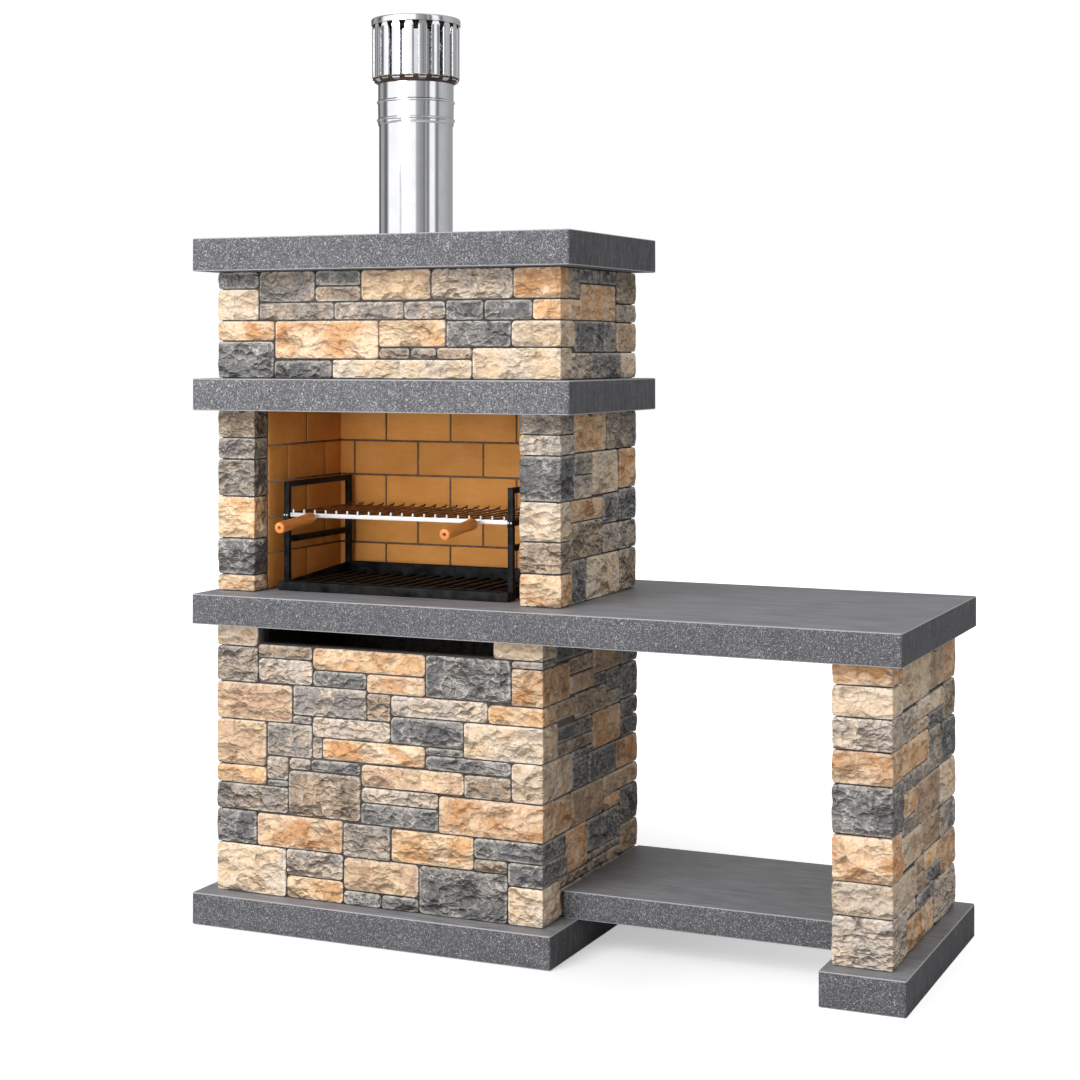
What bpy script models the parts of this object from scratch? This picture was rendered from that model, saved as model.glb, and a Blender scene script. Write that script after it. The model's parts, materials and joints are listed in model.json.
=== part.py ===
"""Garden barbecue of stone-faced blocks on slabs, with a brick firebox, a flue and a side table.

Metres, +Z up. X runs to the right along the front and Y goes to the rear. The origin is on the
ground, below the front left corner of the lower body.
"""

import math
import random

import bmesh
import bpy
import numpy as np
from mathutils import Matrix, Vector

MM = 0.001
GAP = 0.0003

# Slabs
BASE_THICKNESS = 0.085
BASE_LEDGE_LEFT = 0.046
BASE_LEDGE_RIGHT = 0.041
BASE_LEDGE_FRONT = 0.050
BASE_LEDGE_REAR = 0.035
COUNTER_TOP = 0.880
COUNTER_THICKNESS = 0.080
COUNTER_LEDGE_LEFT = 0.047
COUNTER_LEDGE_RIGHT = 0.034
COUNTER_LEDGE_FRONT = 0.050
COUNTER_LEDGE_REAR = 0.100
MANTEL_THICKNESS = 0.085
TOP_THICKNESS = 0.088
CROWN_LEDGE_LEFT = 0.033
CROWN_LEDGE_RIGHT = 0.054
CROWN_LEDGE_FRONT = 0.074
CROWN_LEDGE_REAR = 0.010
SLAB_EDGE = 0.004

# Lower body and its ash slot
BODY_WIDTH = 0.955
BODY_DEPTH = 0.650
SLOT_LEFT = 0.126
SLOT_INSET_RIGHT = 0.140
SLOT_HEIGHT = 0.050

# Side table
BAY_WIDTH = 0.739
PIER_WIDTH = 0.148
PIER_LEDGE_LEFT = 0.018
PIER_LEDGE_RIGHT = 0.043
SHELF_SETBACK = 0.120
SHELF_THICKNESS = 0.070

# Firebox and hood
UPPER_OUT_LEFT = 0.027
UPPER_OUT_RIGHT = 0.029
UPPER_SETBACK = 0.046
UPPER_DEPTH = 0.519
FIREBOX_HEIGHT = 0.488
FIREBOX_PIER = 0.116
FIREBOX_RETURN = 0.072
FIREBOX_REAR_WALL = 0.030
HOOD_HEIGHT = 0.287
SMOKE_HOLE_INSET = 0.070

# Stone facing
STONE_PROUD = 0.014
STONE_JOINT = 0.004
STONE_TAPER = 0.004
STONE_ROUGHNESS = 0.004
STONE_SINK = 0.002
CORNER_CHAMFER = 0.006
WALL_CORE = 0.046

# Firebrick lining
LINING = 0.020
BRICK_LENGTH = 0.205
BRICK_COURSES = 5
BRICK_JOINT = 0.005
BRICK_PROUD = 0.003
BRICK_TAPER = 0.0008

# Flue and cowl
FLUE_X = 0.470
FLUE_Y = 0.250
FLUE_RADIUS = 0.099
FLUE_WALL = 0.0015
FLUE_SEAT_DEPTH = 0.030
FLUE_SEAT_LEDGE = 0.008
FLUE_ABOVE_SLAB = 0.414
SLEEVE_BELOW_CONE = 0.110
SLEEVE_RADIUS = 0.1015
BEAD_HEIGHT = 0.006
BEAD_PROUD = 0.0035
LOWER_BEAD = 0.014
UPPER_BEAD = 0.062
CONE_HEIGHT = 0.013
COWL_RADIUS = 0.117
COWL_HEIGHT = 0.160
CAP_RIM = 0.015
CAP_CROWN = 0.004
CAP_SHEET = 0.002
SLAT_COUNT = 20
SLAT_WIDTH = 0.024
SLAT_TAB = 0.016
SLAT_FLANGE = 0.008
SLAT_SHEET = 0.0018
SLAT_SHOULDER = 0.020
SLAT_SLANT = 0.008
SLAT_RING = 0.005
INNER_SLAT_RADIUS = 0.1035
INNER_SLAT_WIDTH = 0.022
INNER_SLAT_SHORT = 0.036
ROUND_STEPS = 32

# Grill carrier
TUBE = 0.015
CARRIER_SPACE_LEFT = 0.042
CARRIER_SPACE_RIGHT = 0.068
CARRIER_FRONT = 0.148
CARRIER_REAR = 0.485
CARRIER_HEIGHT = 0.293
LOW_RUNG = 0.136
GRILL_RUNG = 0.201
RUNG_LEDGE = 0.007
RUNG_LEDGE_SHEET = 0.003
RAIL_HEIGHT = 0.025
RAIL_DEPTH = 0.022
RAIL_FRONT = 0.110
RAIL_EDGE = 0.003

# Coal tray and coal grate
TRAY_SHEET = 0.002
TRAY_CLEARANCE = 0.003
TRAY_FRONT_HEIGHT = 0.026
TRAY_REAR_HEIGHT = 0.048
GRATE_ROD = 0.008
GRATE_BARS = 17
GRATE_LIFT = 0.012
GRATE_LUG = 0.030
GRATE_CLEARANCE = 0.0065

# Cooking grill and its handles
GRILL_CLEARANCE = 0.002
GRILL_BAR_HEIGHT = 0.011
GRILL_BAR_SHEET = 0.005
GRILL_ROD = 0.005
GRILL_RODS = 20
GRILL_TIP = 0.009
GRILL_REAR_INSET = 0.012
HANDLE_INSET_LEFT = 0.096
HANDLE_INSET_RIGHT = 0.092
HANDLE_SLOPE = math.radians(5)
HANDLE_ROD = 0.008
HANDLE_NECK = 0.022
GRIP_LENGTH = 0.168
GRIP_RADIUS = 0.0152
GRIP_WAIST = 0.0138
GRIP_BORE = 0.0045
FERRULE_LENGTH = 0.012
FERRULE_RADIUS = 0.0095

# Places worked out from the sizes above
BODY_RIGHT = BODY_WIDTH
SLOT_RIGHT = BODY_RIGHT - SLOT_INSET_RIGHT
PIER_LEFT = BODY_RIGHT + BAY_WIDTH
PIER_RIGHT = PIER_LEFT + PIER_WIDTH
COUNTER_UNDERSIDE = COUNTER_TOP - COUNTER_THICKNESS
UPPER_LEFT = -UPPER_OUT_LEFT
UPPER_RIGHT = BODY_RIGHT + UPPER_OUT_RIGHT
UPPER_FRONT = UPPER_SETBACK
UPPER_REAR = UPPER_FRONT + UPPER_DEPTH
MANTEL_BOTTOM = COUNTER_TOP + FIREBOX_HEIGHT
MANTEL_TOP = MANTEL_BOTTOM + MANTEL_THICKNESS
TOP_BOTTOM = MANTEL_TOP + HOOD_HEIGHT
TOP_TOP = TOP_BOTTOM + TOP_THICKNESS
FIREBOX_LEFT = UPPER_LEFT + FIREBOX_PIER
FIREBOX_RIGHT = UPPER_RIGHT - FIREBOX_PIER
LINING_FRONT = UPPER_FRONT + FIREBOX_RETURN + GAP
LINING_REAR = UPPER_REAR - FIREBOX_REAR_WALL - GAP - LINING
CARRIER_LEFT = FIREBOX_LEFT + CARRIER_SPACE_LEFT
CARRIER_RIGHT = FIREBOX_RIGHT - CARRIER_SPACE_RIGHT
HANDLE_LEFT = CARRIER_LEFT + HANDLE_INSET_LEFT
HANDLE_RIGHT = CARRIER_RIGHT - HANDLE_INSET_RIGHT

# Stone patterns. A row is left, right, bottom, top of a stone in millimetres on the drawn face.
# A quoin row is bottom, top, and its length along the face before and after the corner.
LOWER_DRAWN = (955, 650, 715)
LOWER_FRONT = [
    (212, 383, 60, 130), (212, 383, 0, 60), (383, 604, 38, 125), (383, 495, 0, 38),
    (495, 604, 0, 38), (604, 855, 0, 125), (761, 855, 125, 158), (123, 383, 130, 218),
    (383, 523, 125, 214), (523, 761, 125, 211), (435, 661, 214, 270), (435, 661, 270, 311),
    (219, 435, 218, 338), (152, 219, 290, 308), (152, 219, 308, 371), (219, 287, 338, 371),
    (287, 435, 338, 371), (435, 733, 311, 370), (733, 865, 308, 368), (622, 865, 370, 408),
    (320, 622, 372, 429), (290, 320, 372, 429), (622, 732, 408, 429), (522, 732, 429, 500),
    (290, 522, 429, 483), (152, 290, 371, 460), (231, 290, 460, 483), (231, 452, 483, 562),
    (452, 522, 483, 555), (522, 800, 500, 555), (452, 623, 555, 605), (291, 452, 562, 605),
    (291, 623, 605, 665), (623, 865, 555, 665), (126, 291, 562, 628), (126, 291, 628, 665),
]
LOWER_RIGHT = [
    (92, 342, 650, 715), (180, 342, 606, 650), (180, 342, 556, 606), (342, 536, 586, 715),
    (342, 438, 553, 586), (438, 536, 528, 586), (438, 536, 485, 528), (85, 220, 500, 550),
    (220, 438, 485, 553), (102, 337, 442, 485), (102, 337, 408, 442), (337, 536, 387, 485),
    (198, 337, 387, 408), (198, 308, 305, 387), (308, 500, 305, 387), (88, 194, 211, 305),
    (194, 410, 211, 305), (410, 527, 210, 250), (158, 304, 98, 211), (304, 527, 122, 210),
    (304, 527, 102, 122), (112, 304, 72, 98), (304, 430, 72, 102), (430, 527, 72, 102),
    (112, 270, 0, 72), (270, 400, 0, 72), (400, 527, 0, 72),
]
LOWER_QUOINS = [
    [(0, 130, 130, 212), (130, 220, 190, 123), (220, 290, 110, 219), (290, 340, 170, 152),
     (340, 460, 120, 152), (460, 560, 180, 231), (560, 655, 100, 126), (655, 715, 160, 126)],
    [(0, 98, 100, 112), (98, 158, 100, 158), (158, 211, 194, 158), (211, 308, 294, 88),
     (308, 408, 90, 198), (408, 500, 223, 102), (500, 550, 155, 85), (550, 645, 90, 180),
     (645, 665, 90, 92), (665, 715, 140, 92)],
    [(0, 70, 123, 200), (70, 150, 123, 110), (150, 250, 123, 230), (250, 305, 240, 120),
     (305, 385, 150, 190), (385, 440, 114, 110), (440, 490, 114, 210), (490, 585, 114, 130),
     (585, 715, 114, 180)],
    [(0, 90, 190, 110), (90, 180, 110, 180), (180, 250, 210, 100), (250, 350, 120, 160),
     (350, 410, 200, 100), (410, 500, 110, 190), (500, 590, 180, 120), (590, 650, 110, 160),
     (650, 715, 170, 110)],
]
HOOD_DRAWN = (1011, 519, 287)
HOOD_FRONT = [
    (174, 351, 0, 50), (351, 761, 0, 52), (490, 583, 52, 83), (583, 659, 52, 83),
    (659, 761, 52, 83), (176, 490, 52, 155), (490, 686, 83, 155), (686, 871, 83, 152),
    (126, 356, 155, 203), (356, 564, 155, 203), (564, 686, 155, 203), (686, 794, 152, 205),
    (794, 930, 152, 205), (126, 299, 203, 287), (299, 437, 245, 287), (299, 437, 203, 245),
    (437, 642, 205, 287), (642, 876, 206, 287),
]
HOOD_RIGHT = [
    (66, 137, 208, 287), (137, 266, 248, 287), (266, 388, 248, 287), (142, 384, 152, 248),
    (98, 300, 70, 152), (79, 204, 0, 70), (204, 413, 0, 70), (300, 384, 70, 152),
]
HOOD_QUOINS = [
    [(0, 100, 110, 174), (100, 155, 180, 176), (155, 240, 120, 126), (240, 287, 170, 126)],
    [(0, 83, 250, 79), (83, 152, 140, 98), (152, 206, 81, 142), (206, 287, 135, 66)],
    [(0, 70, 106, 180), (70, 150, 135, 110), (150, 200, 135, 200), (200, 287, 131, 120)],
    [(0, 85, 170, 110), (85, 150, 110, 180), (150, 235, 190, 110), (235, 287, 120, 160)],
]
FIREBOX_DRAWN = (1011, 519, 488)
FIREBOX_LEFT_COURSES = (45, 142, 255, 355, 413, 488)
FIREBOX_RIGHT_COURSES = (84, 165, 266, 383, 435, 488)
FIREBOX_LEFT_RETURNS = (150, 90, 170, 100, 160, 90)
FIREBOX_RIGHT_RETURNS = (76, 76, 76, 100, 100, 90)
FIREBOX_RIGHT_SIDE = [
    (100, 316, 385, 488), (100, 218, 328, 385), (100, 218, 266, 328), (218, 400, 270, 385),
    (76, 294, 208, 266), (76, 294, 113, 208), (76, 176, 0, 113), (176, 404, 0, 113),
    (294, 400, 190, 270), (294, 400, 113, 190),
]
FIREBOX_REAR_QUOINS = [
    [(0, 113, 115, 190), (113, 190, 119, 110), (190, 277, 119, 210), (277, 385, 115, 120),
     (385, 488, 203, 180)],
    [(0, 90, 200, 110), (90, 200, 120, 180), (200, 265, 210, 110), (265, 375, 120, 170),
     (375, 488, 190, 120)],
]
PIER_DRAWN = (148, 650, 715)
PIER_FRONT_COURSES = (120, 200, 310, 428, 508, 585, 660, 715)
PIER_FRONT_RETURNS = (148, 237, 104, 118, 106, 252, 104, 102)
PIER_REAR_COURSES = (112, 207, 287, 392, 500, 595, 715)
PIER_REAR_RETURNS = (222, 155, 160, 160, 140, 120, 112)
PIER_RIGHT_SIDE = [
    (104, 373, 590, 715), (373, 538, 597, 715), (252, 530, 542, 590), (252, 371, 508, 542),
    (371, 530, 500, 542), (371, 510, 392, 500), (106, 371, 432, 508), (118, 371, 390, 432),
    (118, 245, 327, 390), (245, 490, 287, 390), (118, 245, 287, 327), (104, 300, 207, 287),
    (300, 490, 207, 287), (237, 325, 170, 207), (237, 325, 120, 170), (325, 495, 158, 207),
    (325, 495, 120, 158), (243, 428, 80, 120), (148, 243, 84, 120), (148, 428, 0, 80),
]

# Sizes of the stones on the faces that have no drawn pattern, in cells of the face grid
CELL = 5
FILL_WIDTHS = (28, 36, 44, 52)
FILL_HEIGHTS = (14, 18, 22, 26)
FILL_LONGEST = 60
FILL_TALLEST = 30
FILL_SHORTEST = 16
FILL_THINNEST = 10
FILL_SLIVER = 4


def clear_scene():
    for obj in list(bpy.data.objects):
        bpy.data.objects.remove(obj, do_unlink=True)


def new_collection(name, hidden=False):
    collection = bpy.data.collections.new(name)
    collection.hide_render = hidden
    bpy.context.scene.collection.children.link(collection)
    return collection


def new_material(name, colour, roughness, metallic=0.0):
    material = bpy.data.materials.new(name)
    material.use_nodes = True
    material.diffuse_color = (*colour, 1.0)
    shader = material.node_tree.nodes["Principled BSDF"]
    shader.inputs["Base Color"].default_value = (*colour, 1.0)
    shader.inputs["Roughness"].default_value = roughness
    shader.inputs["Metallic"].default_value = metallic
    return material


clear_scene()
PARTS = new_collection("garden_barbecue")
CUTTERS = new_collection("cutters", hidden=True)
SLAB_GREY = (0.13, 0.135, 0.15)
STONE_MIX = (0.42, 0.33, 0.22)
BRICK_ORANGE = (0.46, 0.21, 0.06)
STEEL_BRIGHT = (0.62, 0.63, 0.65)
STEEL_BLACK = (0.012, 0.013, 0.016)
GRILL_BROWN = (0.10, 0.07, 0.05)
WOOD_TAN = (0.52, 0.23, 0.06)


def add_object(name, mesh, material, location=(0, 0, 0), parent=None, helper=False):
    obj = bpy.data.objects.new(name, mesh)
    (CUTTERS if helper else PARTS).objects.link(obj)
    obj.location = location
    if helper:
        obj.hide_render = True
        obj.display_type = "WIRE"
    if material:
        mesh.materials.append(material)
    if parent:
        obj.parent = parent
    return obj


def mesh_from(bm, name, smooth=False):
    bmesh.ops.recalc_face_normals(bm, faces=bm.faces)
    mesh = bpy.data.meshes.new(name)
    bm.to_mesh(mesh)
    bm.free()
    if smooth:
        mesh.shade_smooth()
        mesh.set_sharp_from_angle(angle=math.radians(35))
    return mesh


def add_block(bm, low, high):
    """A box between two corners."""
    low, high = Vector(low), Vector(high)
    made = bmesh.ops.create_cube(bm, size=1.0)["verts"]
    size = high - low
    place = Matrix.Translation((low + high) / 2) @ Matrix.Diagonal((*size, 1.0))
    bmesh.ops.transform(bm, matrix=place, verts=made)
    return made


def add_prism(bm, outline, bottom, top, frame=None):
    """An upright prism on a plan outline."""
    corners = [bm.verts.new((u, d, bottom)) for u, d in outline]
    face = bm.faces.new(corners)
    raised = bmesh.ops.extrude_face_region(bm, geom=[face])["geom"]
    tops = [item for item in raised if isinstance(item, bmesh.types.BMVert)]
    bmesh.ops.translate(bm, verts=tops, vec=(0, 0, top - bottom))
    if frame:
        bmesh.ops.transform(bm, matrix=frame, verts=corners + tops)


def boolean(obj, operation, other):
    modifier = obj.modifiers.new(operation.lower() + "_" + other.name, "BOOLEAN")
    modifier.operation = operation
    modifier.object = other
    return modifier


def bevel(obj, width):
    modifier = obj.modifiers.new("edges", "BEVEL")
    modifier.width = width
    modifier.segments = 1
    modifier.limit_method = "ANGLE"
    modifier.angle_limit = math.radians(40)


def slab(name, low, high, material, edge=SLAB_EDGE):
    """A block whose object stands at its own centre, with chamfered edges."""
    low, high = Vector(low), Vector(high)
    centre = (low + high) / 2
    bm = bmesh.new()
    add_block(bm, low - centre, high - centre)
    obj = add_object(name, mesh_from(bm, name), material, centre)
    bevel(obj, edge)
    return obj


def round_cutter(name, radius, bottom, top, centre, steps=ROUND_STEPS):
    bm = bmesh.new()
    bmesh.ops.create_cone(
        bm, cap_ends=True, segments=steps, radius1=radius, radius2=radius, depth=top - bottom
    )
    middle = (centre[0], centre[1], (top + bottom) / 2)
    return add_object(name, mesh_from(bm, name), None, middle, helper=True)


def box_cutter(name, low, high):
    bm = bmesh.new()
    add_block(bm, low, high)
    return add_object(name, mesh_from(bm, name), None, helper=True)


# Stone-faced walls


class StoneBody:
    """A rectangular stone-faced body. Its faces run round it: front, right, rear, left.

    Each face has a frame with u along the face, d into the wall and z up from the bottom.
    """

    def __init__(self, low, high, drawn, seed):
        self.low, self.high = Vector(low), Vector(high)
        self.width, self.depth, self.height = self.high - self.low
        self.drawn = drawn
        self.random = random.Random(seed)

    def face_length(self, face):
        return self.width if face % 2 == 0 else self.depth

    def frame(self, face):
        corner = [
            (self.low.x, self.low.y), (self.high.x, self.low.y),
            (self.high.x, self.high.y), (self.low.x, self.high.y),
        ][face]
        place = Matrix.Translation((*corner, self.low.z))
        return place @ Matrix.Rotation(face * math.pi / 2, 4, "Z")

    def along(self, face, length):
        """A drawn length on a face, stretched to the face as it is."""
        return length * self.face_length(face) / self.drawn[face % 2]

    def up(self, height):
        return height * self.height / self.drawn[2]

    def stone(self, bm, face, left, right, bottom, top):
        """A stone whose sides draw in towards its outer face."""
        recess = self.random.uniform(0, STONE_ROUGHNESS)
        half = STONE_JOINT / 2
        low = (self.along(face, left) + half, recess, self.up(bottom) + half)
        high = (
            self.along(face, right) - half, STONE_PROUD + STONE_SINK, self.up(top) - half
        )
        taper_block(bm, low, high, STONE_TAPER, self.frame(face))

    def quoin(self, bm, corner, row, sunk_before, sunk_after):
        """A corner stone with a leg along the face before the corner and one after it."""
        bottom, top, before, after = row
        before = self.along(corner - 1, before) - STONE_JOINT / 2
        after = self.along(corner, after) - STONE_JOINT / 2
        deep = STONE_PROUD + STONE_SINK
        shallow = STONE_PROUD - GAP
        leg_after = deep if sunk_after else shallow
        leg_before = deep if sunk_before else shallow
        edge = CORNER_CHAMFER
        outline = [
            (edge, 0), (after, 0), (after, leg_after), (leg_before, leg_after),
            (leg_before, before), (0, before), (0, edge),
        ]
        half = STONE_JOINT / 2
        add_prism(
            bm, outline, self.up(bottom) + half, self.up(top) - half, self.frame(corner)
        )

    def rubble(self, face, taken):
        """Fills a face round the places already taken, from the bottom up."""
        columns = self.drawn[face % 2] // CELL
        rows = self.drawn[2] // CELL
        filled = np.zeros((rows, columns), bool)
        for left, right, bottom, top in taken:
            filled[bottom // CELL:-(-top // CELL), left // CELL:-(-right // CELL)] = True
        found = []
        for row in range(rows):
            for column in range(columns):
                if filled[row, column]:
                    continue
                size = self.free_size(filled, row, column)
                across = self.fit(size[0], FILL_WIDTHS, FILL_LONGEST, FILL_SHORTEST)
                upward = free_height(filled, row, column, across)
                tall = self.fit(upward, FILL_HEIGHTS, FILL_TALLEST, FILL_THINNEST)
                filled[row:row + tall, column:column + across] = True
                if min(across, tall) >= FILL_SLIVER:
                    left, bottom = column * CELL, row * CELL
                    found.append((left, left + across * CELL, bottom, bottom + tall * CELL))
        return found

    def free_size(self, filled, row, column):
        run = 0
        while column + run < filled.shape[1] and not filled[row, column + run]:
            run += 1
        return run, filled.shape[0] - row

    def fit(self, room, sizes, most, least):
        """A size from the list, or the whole room where the rest would be a sliver."""
        size = self.random.choice(sizes)
        if room - size >= least:
            return size
        return room if room <= most else room // 2


def free_height(filled, row, column, across):
    rise = 0
    while row + rise < filled.shape[0] and not filled[row + rise, column:column + across].any():
        rise += 1
    return rise


def taper_block(bm, low, high, taper, frame):
    """A block whose outer face, at the low end of d, is smaller all round."""
    made = add_block(bm, low, high)
    middle = (Vector(low) + Vector(high)) / 2
    for vertex in made:
        if vertex.co.y < middle.y:
            vertex.co.x += taper if vertex.co.x < middle.x else -taper
            vertex.co.z += taper if vertex.co.z < middle.z else -taper
    bmesh.ops.transform(bm, matrix=frame, verts=made)


def corner_places(body, corner, quoins):
    """Where a corner's stones lie on the face before it and on the face after it."""
    length = body.drawn[(corner - 1) % 2]
    before = [(length - b, length, z0, z1) for z0, z1, b, _ in quoins]
    after = [(0, a, z0, z1) for z0, z1, _, a in quoins]
    return before, after


def faced(name, core, stones, material):
    """A wall: its core joined with the stones that stand out of it."""
    wall = add_object(name, mesh_from(core, name), material)
    facing = add_object(name + "_stones", mesh_from(stones, name + "_stones"), None, helper=True)
    # The exact solver drops the core of a wall that many separate stones join
    boolean(wall, "UNION", facing).solver = "MANIFOLD"
    return wall


def core_box(body, face, start, end, near, far):
    """A wall core in a face's frame, clear of the slabs above and below it."""
    core = bmesh.new()
    made = add_block(core, (start, near, GAP), (end, far, body.height - GAP))
    bmesh.ops.transform(core, matrix=body.frame(face), verts=made)
    return core


def four_walls(body, prefix, quoins, fronts, material, rear_wall=None):
    """Front and rear walls with their corners, and the side walls between them."""
    names = ("front", "right", "rear", "left")
    walls = {}
    inset = STONE_PROUD + WALL_CORE + GAP
    for face in fronts:
        core_far = STONE_PROUD + WALL_CORE
        if face % 2 == 0:
            if rear_wall and face == 2:
                core_far = rear_wall
            core = core_box(
                body, face, STONE_PROUD, body.width - STONE_PROUD, STONE_PROUD, core_far
            )
        else:
            core = core_box(body, face, inset, body.depth - inset, STONE_PROUD, core_far)
        stones = bmesh.new()
        for row in fronts[face]:
            body.stone(stones, face, *row)
        if face % 2 == 0:
            for row in quoins[face]:
                body.quoin(stones, face, row, False, True)
            for row in quoins[(face + 1) % 4]:
                body.quoin(stones, (face + 1) % 4, row, True, False)
        name = f"{prefix}_{names[face]}_wall"
        walls[names[face]] = faced(name, core, stones, material)
    return walls


def taken_on(body, face, quoins):
    """The places that the corner stones at both ends of a face take."""
    after = corner_places(body, face, quoins[face])[1]
    before = corner_places(body, (face + 1) % 4, quoins[(face + 1) % 4])[0]
    return after + before


def build_slabs(material):
    slab(
        "base_slab",
        (-BASE_LEDGE_LEFT, -BASE_LEDGE_FRONT, 0),
        (BODY_RIGHT + BASE_LEDGE_RIGHT, BODY_DEPTH + BASE_LEDGE_REAR, BASE_THICKNESS),
        material,
    )
    slab(
        "pier_base_slab",
        (PIER_LEFT - PIER_LEDGE_LEFT, -BASE_LEDGE_FRONT, 0),
        (PIER_RIGHT + PIER_LEDGE_RIGHT, BODY_DEPTH + BASE_LEDGE_REAR, BASE_THICKNESS),
        material,
    )
    slab(
        "shelf_slab",
        (BODY_RIGHT + GAP, SHELF_SETBACK, BASE_THICKNESS + GAP),
        (PIER_LEFT - GAP, BODY_DEPTH, BASE_THICKNESS + GAP + SHELF_THICKNESS),
        material,
    )
    slab(
        "counter_slab",
        (-COUNTER_LEDGE_LEFT, -COUNTER_LEDGE_FRONT, COUNTER_UNDERSIDE),
        (PIER_RIGHT + COUNTER_LEDGE_RIGHT, BODY_DEPTH + COUNTER_LEDGE_REAR, COUNTER_TOP),
        material,
    )
    crown_low = (UPPER_LEFT - CROWN_LEDGE_LEFT, UPPER_FRONT - CROWN_LEDGE_FRONT)
    crown_high = (UPPER_RIGHT + CROWN_LEDGE_RIGHT, UPPER_REAR + CROWN_LEDGE_REAR)
    mantel = slab(
        "mantel_slab", (*crown_low, MANTEL_BOTTOM), (*crown_high, MANTEL_TOP), material
    )
    inset = SMOKE_HOLE_INSET
    smoke_hole = box_cutter(
        "smoke_hole",
        (FIREBOX_LEFT + inset, LINING_FRONT + inset, MANTEL_BOTTOM - inset),
        (FIREBOX_RIGHT - inset, LINING_REAR - inset, MANTEL_TOP + inset),
    )
    boolean(mantel, "DIFFERENCE", smoke_hole)
    top = slab("top_slab", (*crown_low, TOP_BOTTOM), (*crown_high, TOP_TOP), material)
    seat = TOP_TOP - FLUE_SEAT_DEPTH
    centre = (FLUE_X, FLUE_Y)
    flue_hole = round_cutter(
        "flue_hole", FLUE_RADIUS - FLUE_SEAT_LEDGE, TOP_BOTTOM - inset, TOP_TOP + inset, centre
    )
    flue_seat = round_cutter("flue_seat", FLUE_RADIUS + GAP, seat, TOP_TOP + inset, centre)
    boolean(top, "DIFFERENCE", flue_hole)
    boolean(top, "DIFFERENCE", flue_seat)


def build_lower_body(material):
    body = StoneBody(
        (0, 0, BASE_THICKNESS), (BODY_RIGHT, BODY_DEPTH, COUNTER_UNDERSIDE), LOWER_DRAWN, 11
    )
    faces = {
        0: LOWER_FRONT,
        1: LOWER_RIGHT,
        2: body.rubble(2, taken_on(body, 2, LOWER_QUOINS)),
        3: body.rubble(3, taken_on(body, 3, LOWER_QUOINS)),
    }
    walls = four_walls(body, "lower", LOWER_QUOINS, faces, material)
    slot = box_cutter(
        "ash_slot",
        (SLOT_LEFT, -STONE_PROUD, COUNTER_UNDERSIDE - SLOT_HEIGHT),
        (SLOT_RIGHT, STONE_PROUD + 2 * WALL_CORE, COUNTER_TOP),
    )
    boolean(walls["front"], "DIFFERENCE", slot)


def build_hood(material):
    body = StoneBody(
        (UPPER_LEFT, UPPER_FRONT, MANTEL_TOP), (UPPER_RIGHT, UPPER_REAR, TOP_BOTTOM),
        HOOD_DRAWN, 23,
    )
    faces = {
        0: HOOD_FRONT,
        1: HOOD_RIGHT,
        2: body.rubble(2, taken_on(body, 2, HOOD_QUOINS)),
        3: body.rubble(3, taken_on(body, 3, HOOD_QUOINS)),
    }
    four_walls(body, "hood", HOOD_QUOINS, faces, material)


def pier_courses(courses, returns):
    """Rows of bottom, top and return for stones stacked one on another."""
    return list(zip((0, *courses[:-1]), courses, returns))


def pier_block(body, bm, face, course, width, inner, mirrored):
    """A stone the whole width of a pier, with a longer return on the outer side."""
    bottom, top, outer = course
    outer = body.along(face - 1, outer) - STONE_JOINT / 2
    edge = CORNER_CHAMFER
    deep = STONE_PROUD + STONE_SINK
    outline = [
        (edge, 0), (width - edge, 0), (width, edge), (width, inner), (deep, inner),
        (deep, outer), (0, outer), (0, edge),
    ]
    length = body.face_length(face)
    if mirrored:
        outline = [(length - u, d) for u, d in reversed(outline)]
    half = STONE_JOINT / 2
    add_prism(bm, outline, body.up(bottom) + half, body.up(top) - half, body.frame(face))


def build_firebox(material):
    body = StoneBody(
        (UPPER_LEFT, UPPER_FRONT, COUNTER_TOP), (UPPER_RIGHT, UPPER_REAR, MANTEL_BOTTOM),
        FIREBOX_DRAWN, 37,
    )
    rear_right, rear_left = FIREBOX_REAR_QUOINS
    left = pier_courses(FIREBOX_LEFT_COURSES, FIREBOX_LEFT_RETURNS)
    right = pier_courses(FIREBOX_RIGHT_COURSES, FIREBOX_RIGHT_RETURNS)
    quoins = [
        [(bottom, top, back, 0) for bottom, top, back in left],
        [(bottom, top, 0, back) for bottom, top, back in right],
        rear_right, rear_left,
    ]
    side_stones = {1: FIREBOX_RIGHT_SIDE, 3: body.rubble(3, taken_on(body, 3, quoins))}
    side_depth = body.depth - FIREBOX_REAR_WALL - GAP
    core_thickness = FIREBOX_PIER - LINING - GAP
    for face, name, courses in ((1, "right", right), (3, "left", left)):
        near, far = STONE_PROUD, core_thickness
        start = STONE_PROUD if face == 1 else body.depth - side_depth
        end = side_depth if face == 1 else body.depth - STONE_PROUD
        core = core_box(body, face, start, end, near, far)
        stones = bmesh.new()
        for row in side_stones[face]:
            body.stone(stones, face, *row)
        for course in courses:
            pier_block(body, stones, 0, course, FIREBOX_PIER, FIREBOX_RETURN, face == 1)
        faced(f"firebox_{name}_wall", core, stones, material)
    rear = {2: body.rubble(2, taken_on(body, 2, quoins))}
    four_walls(body, "firebox", quoins, rear, material, rear_wall=FIREBOX_REAR_WALL)


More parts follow.
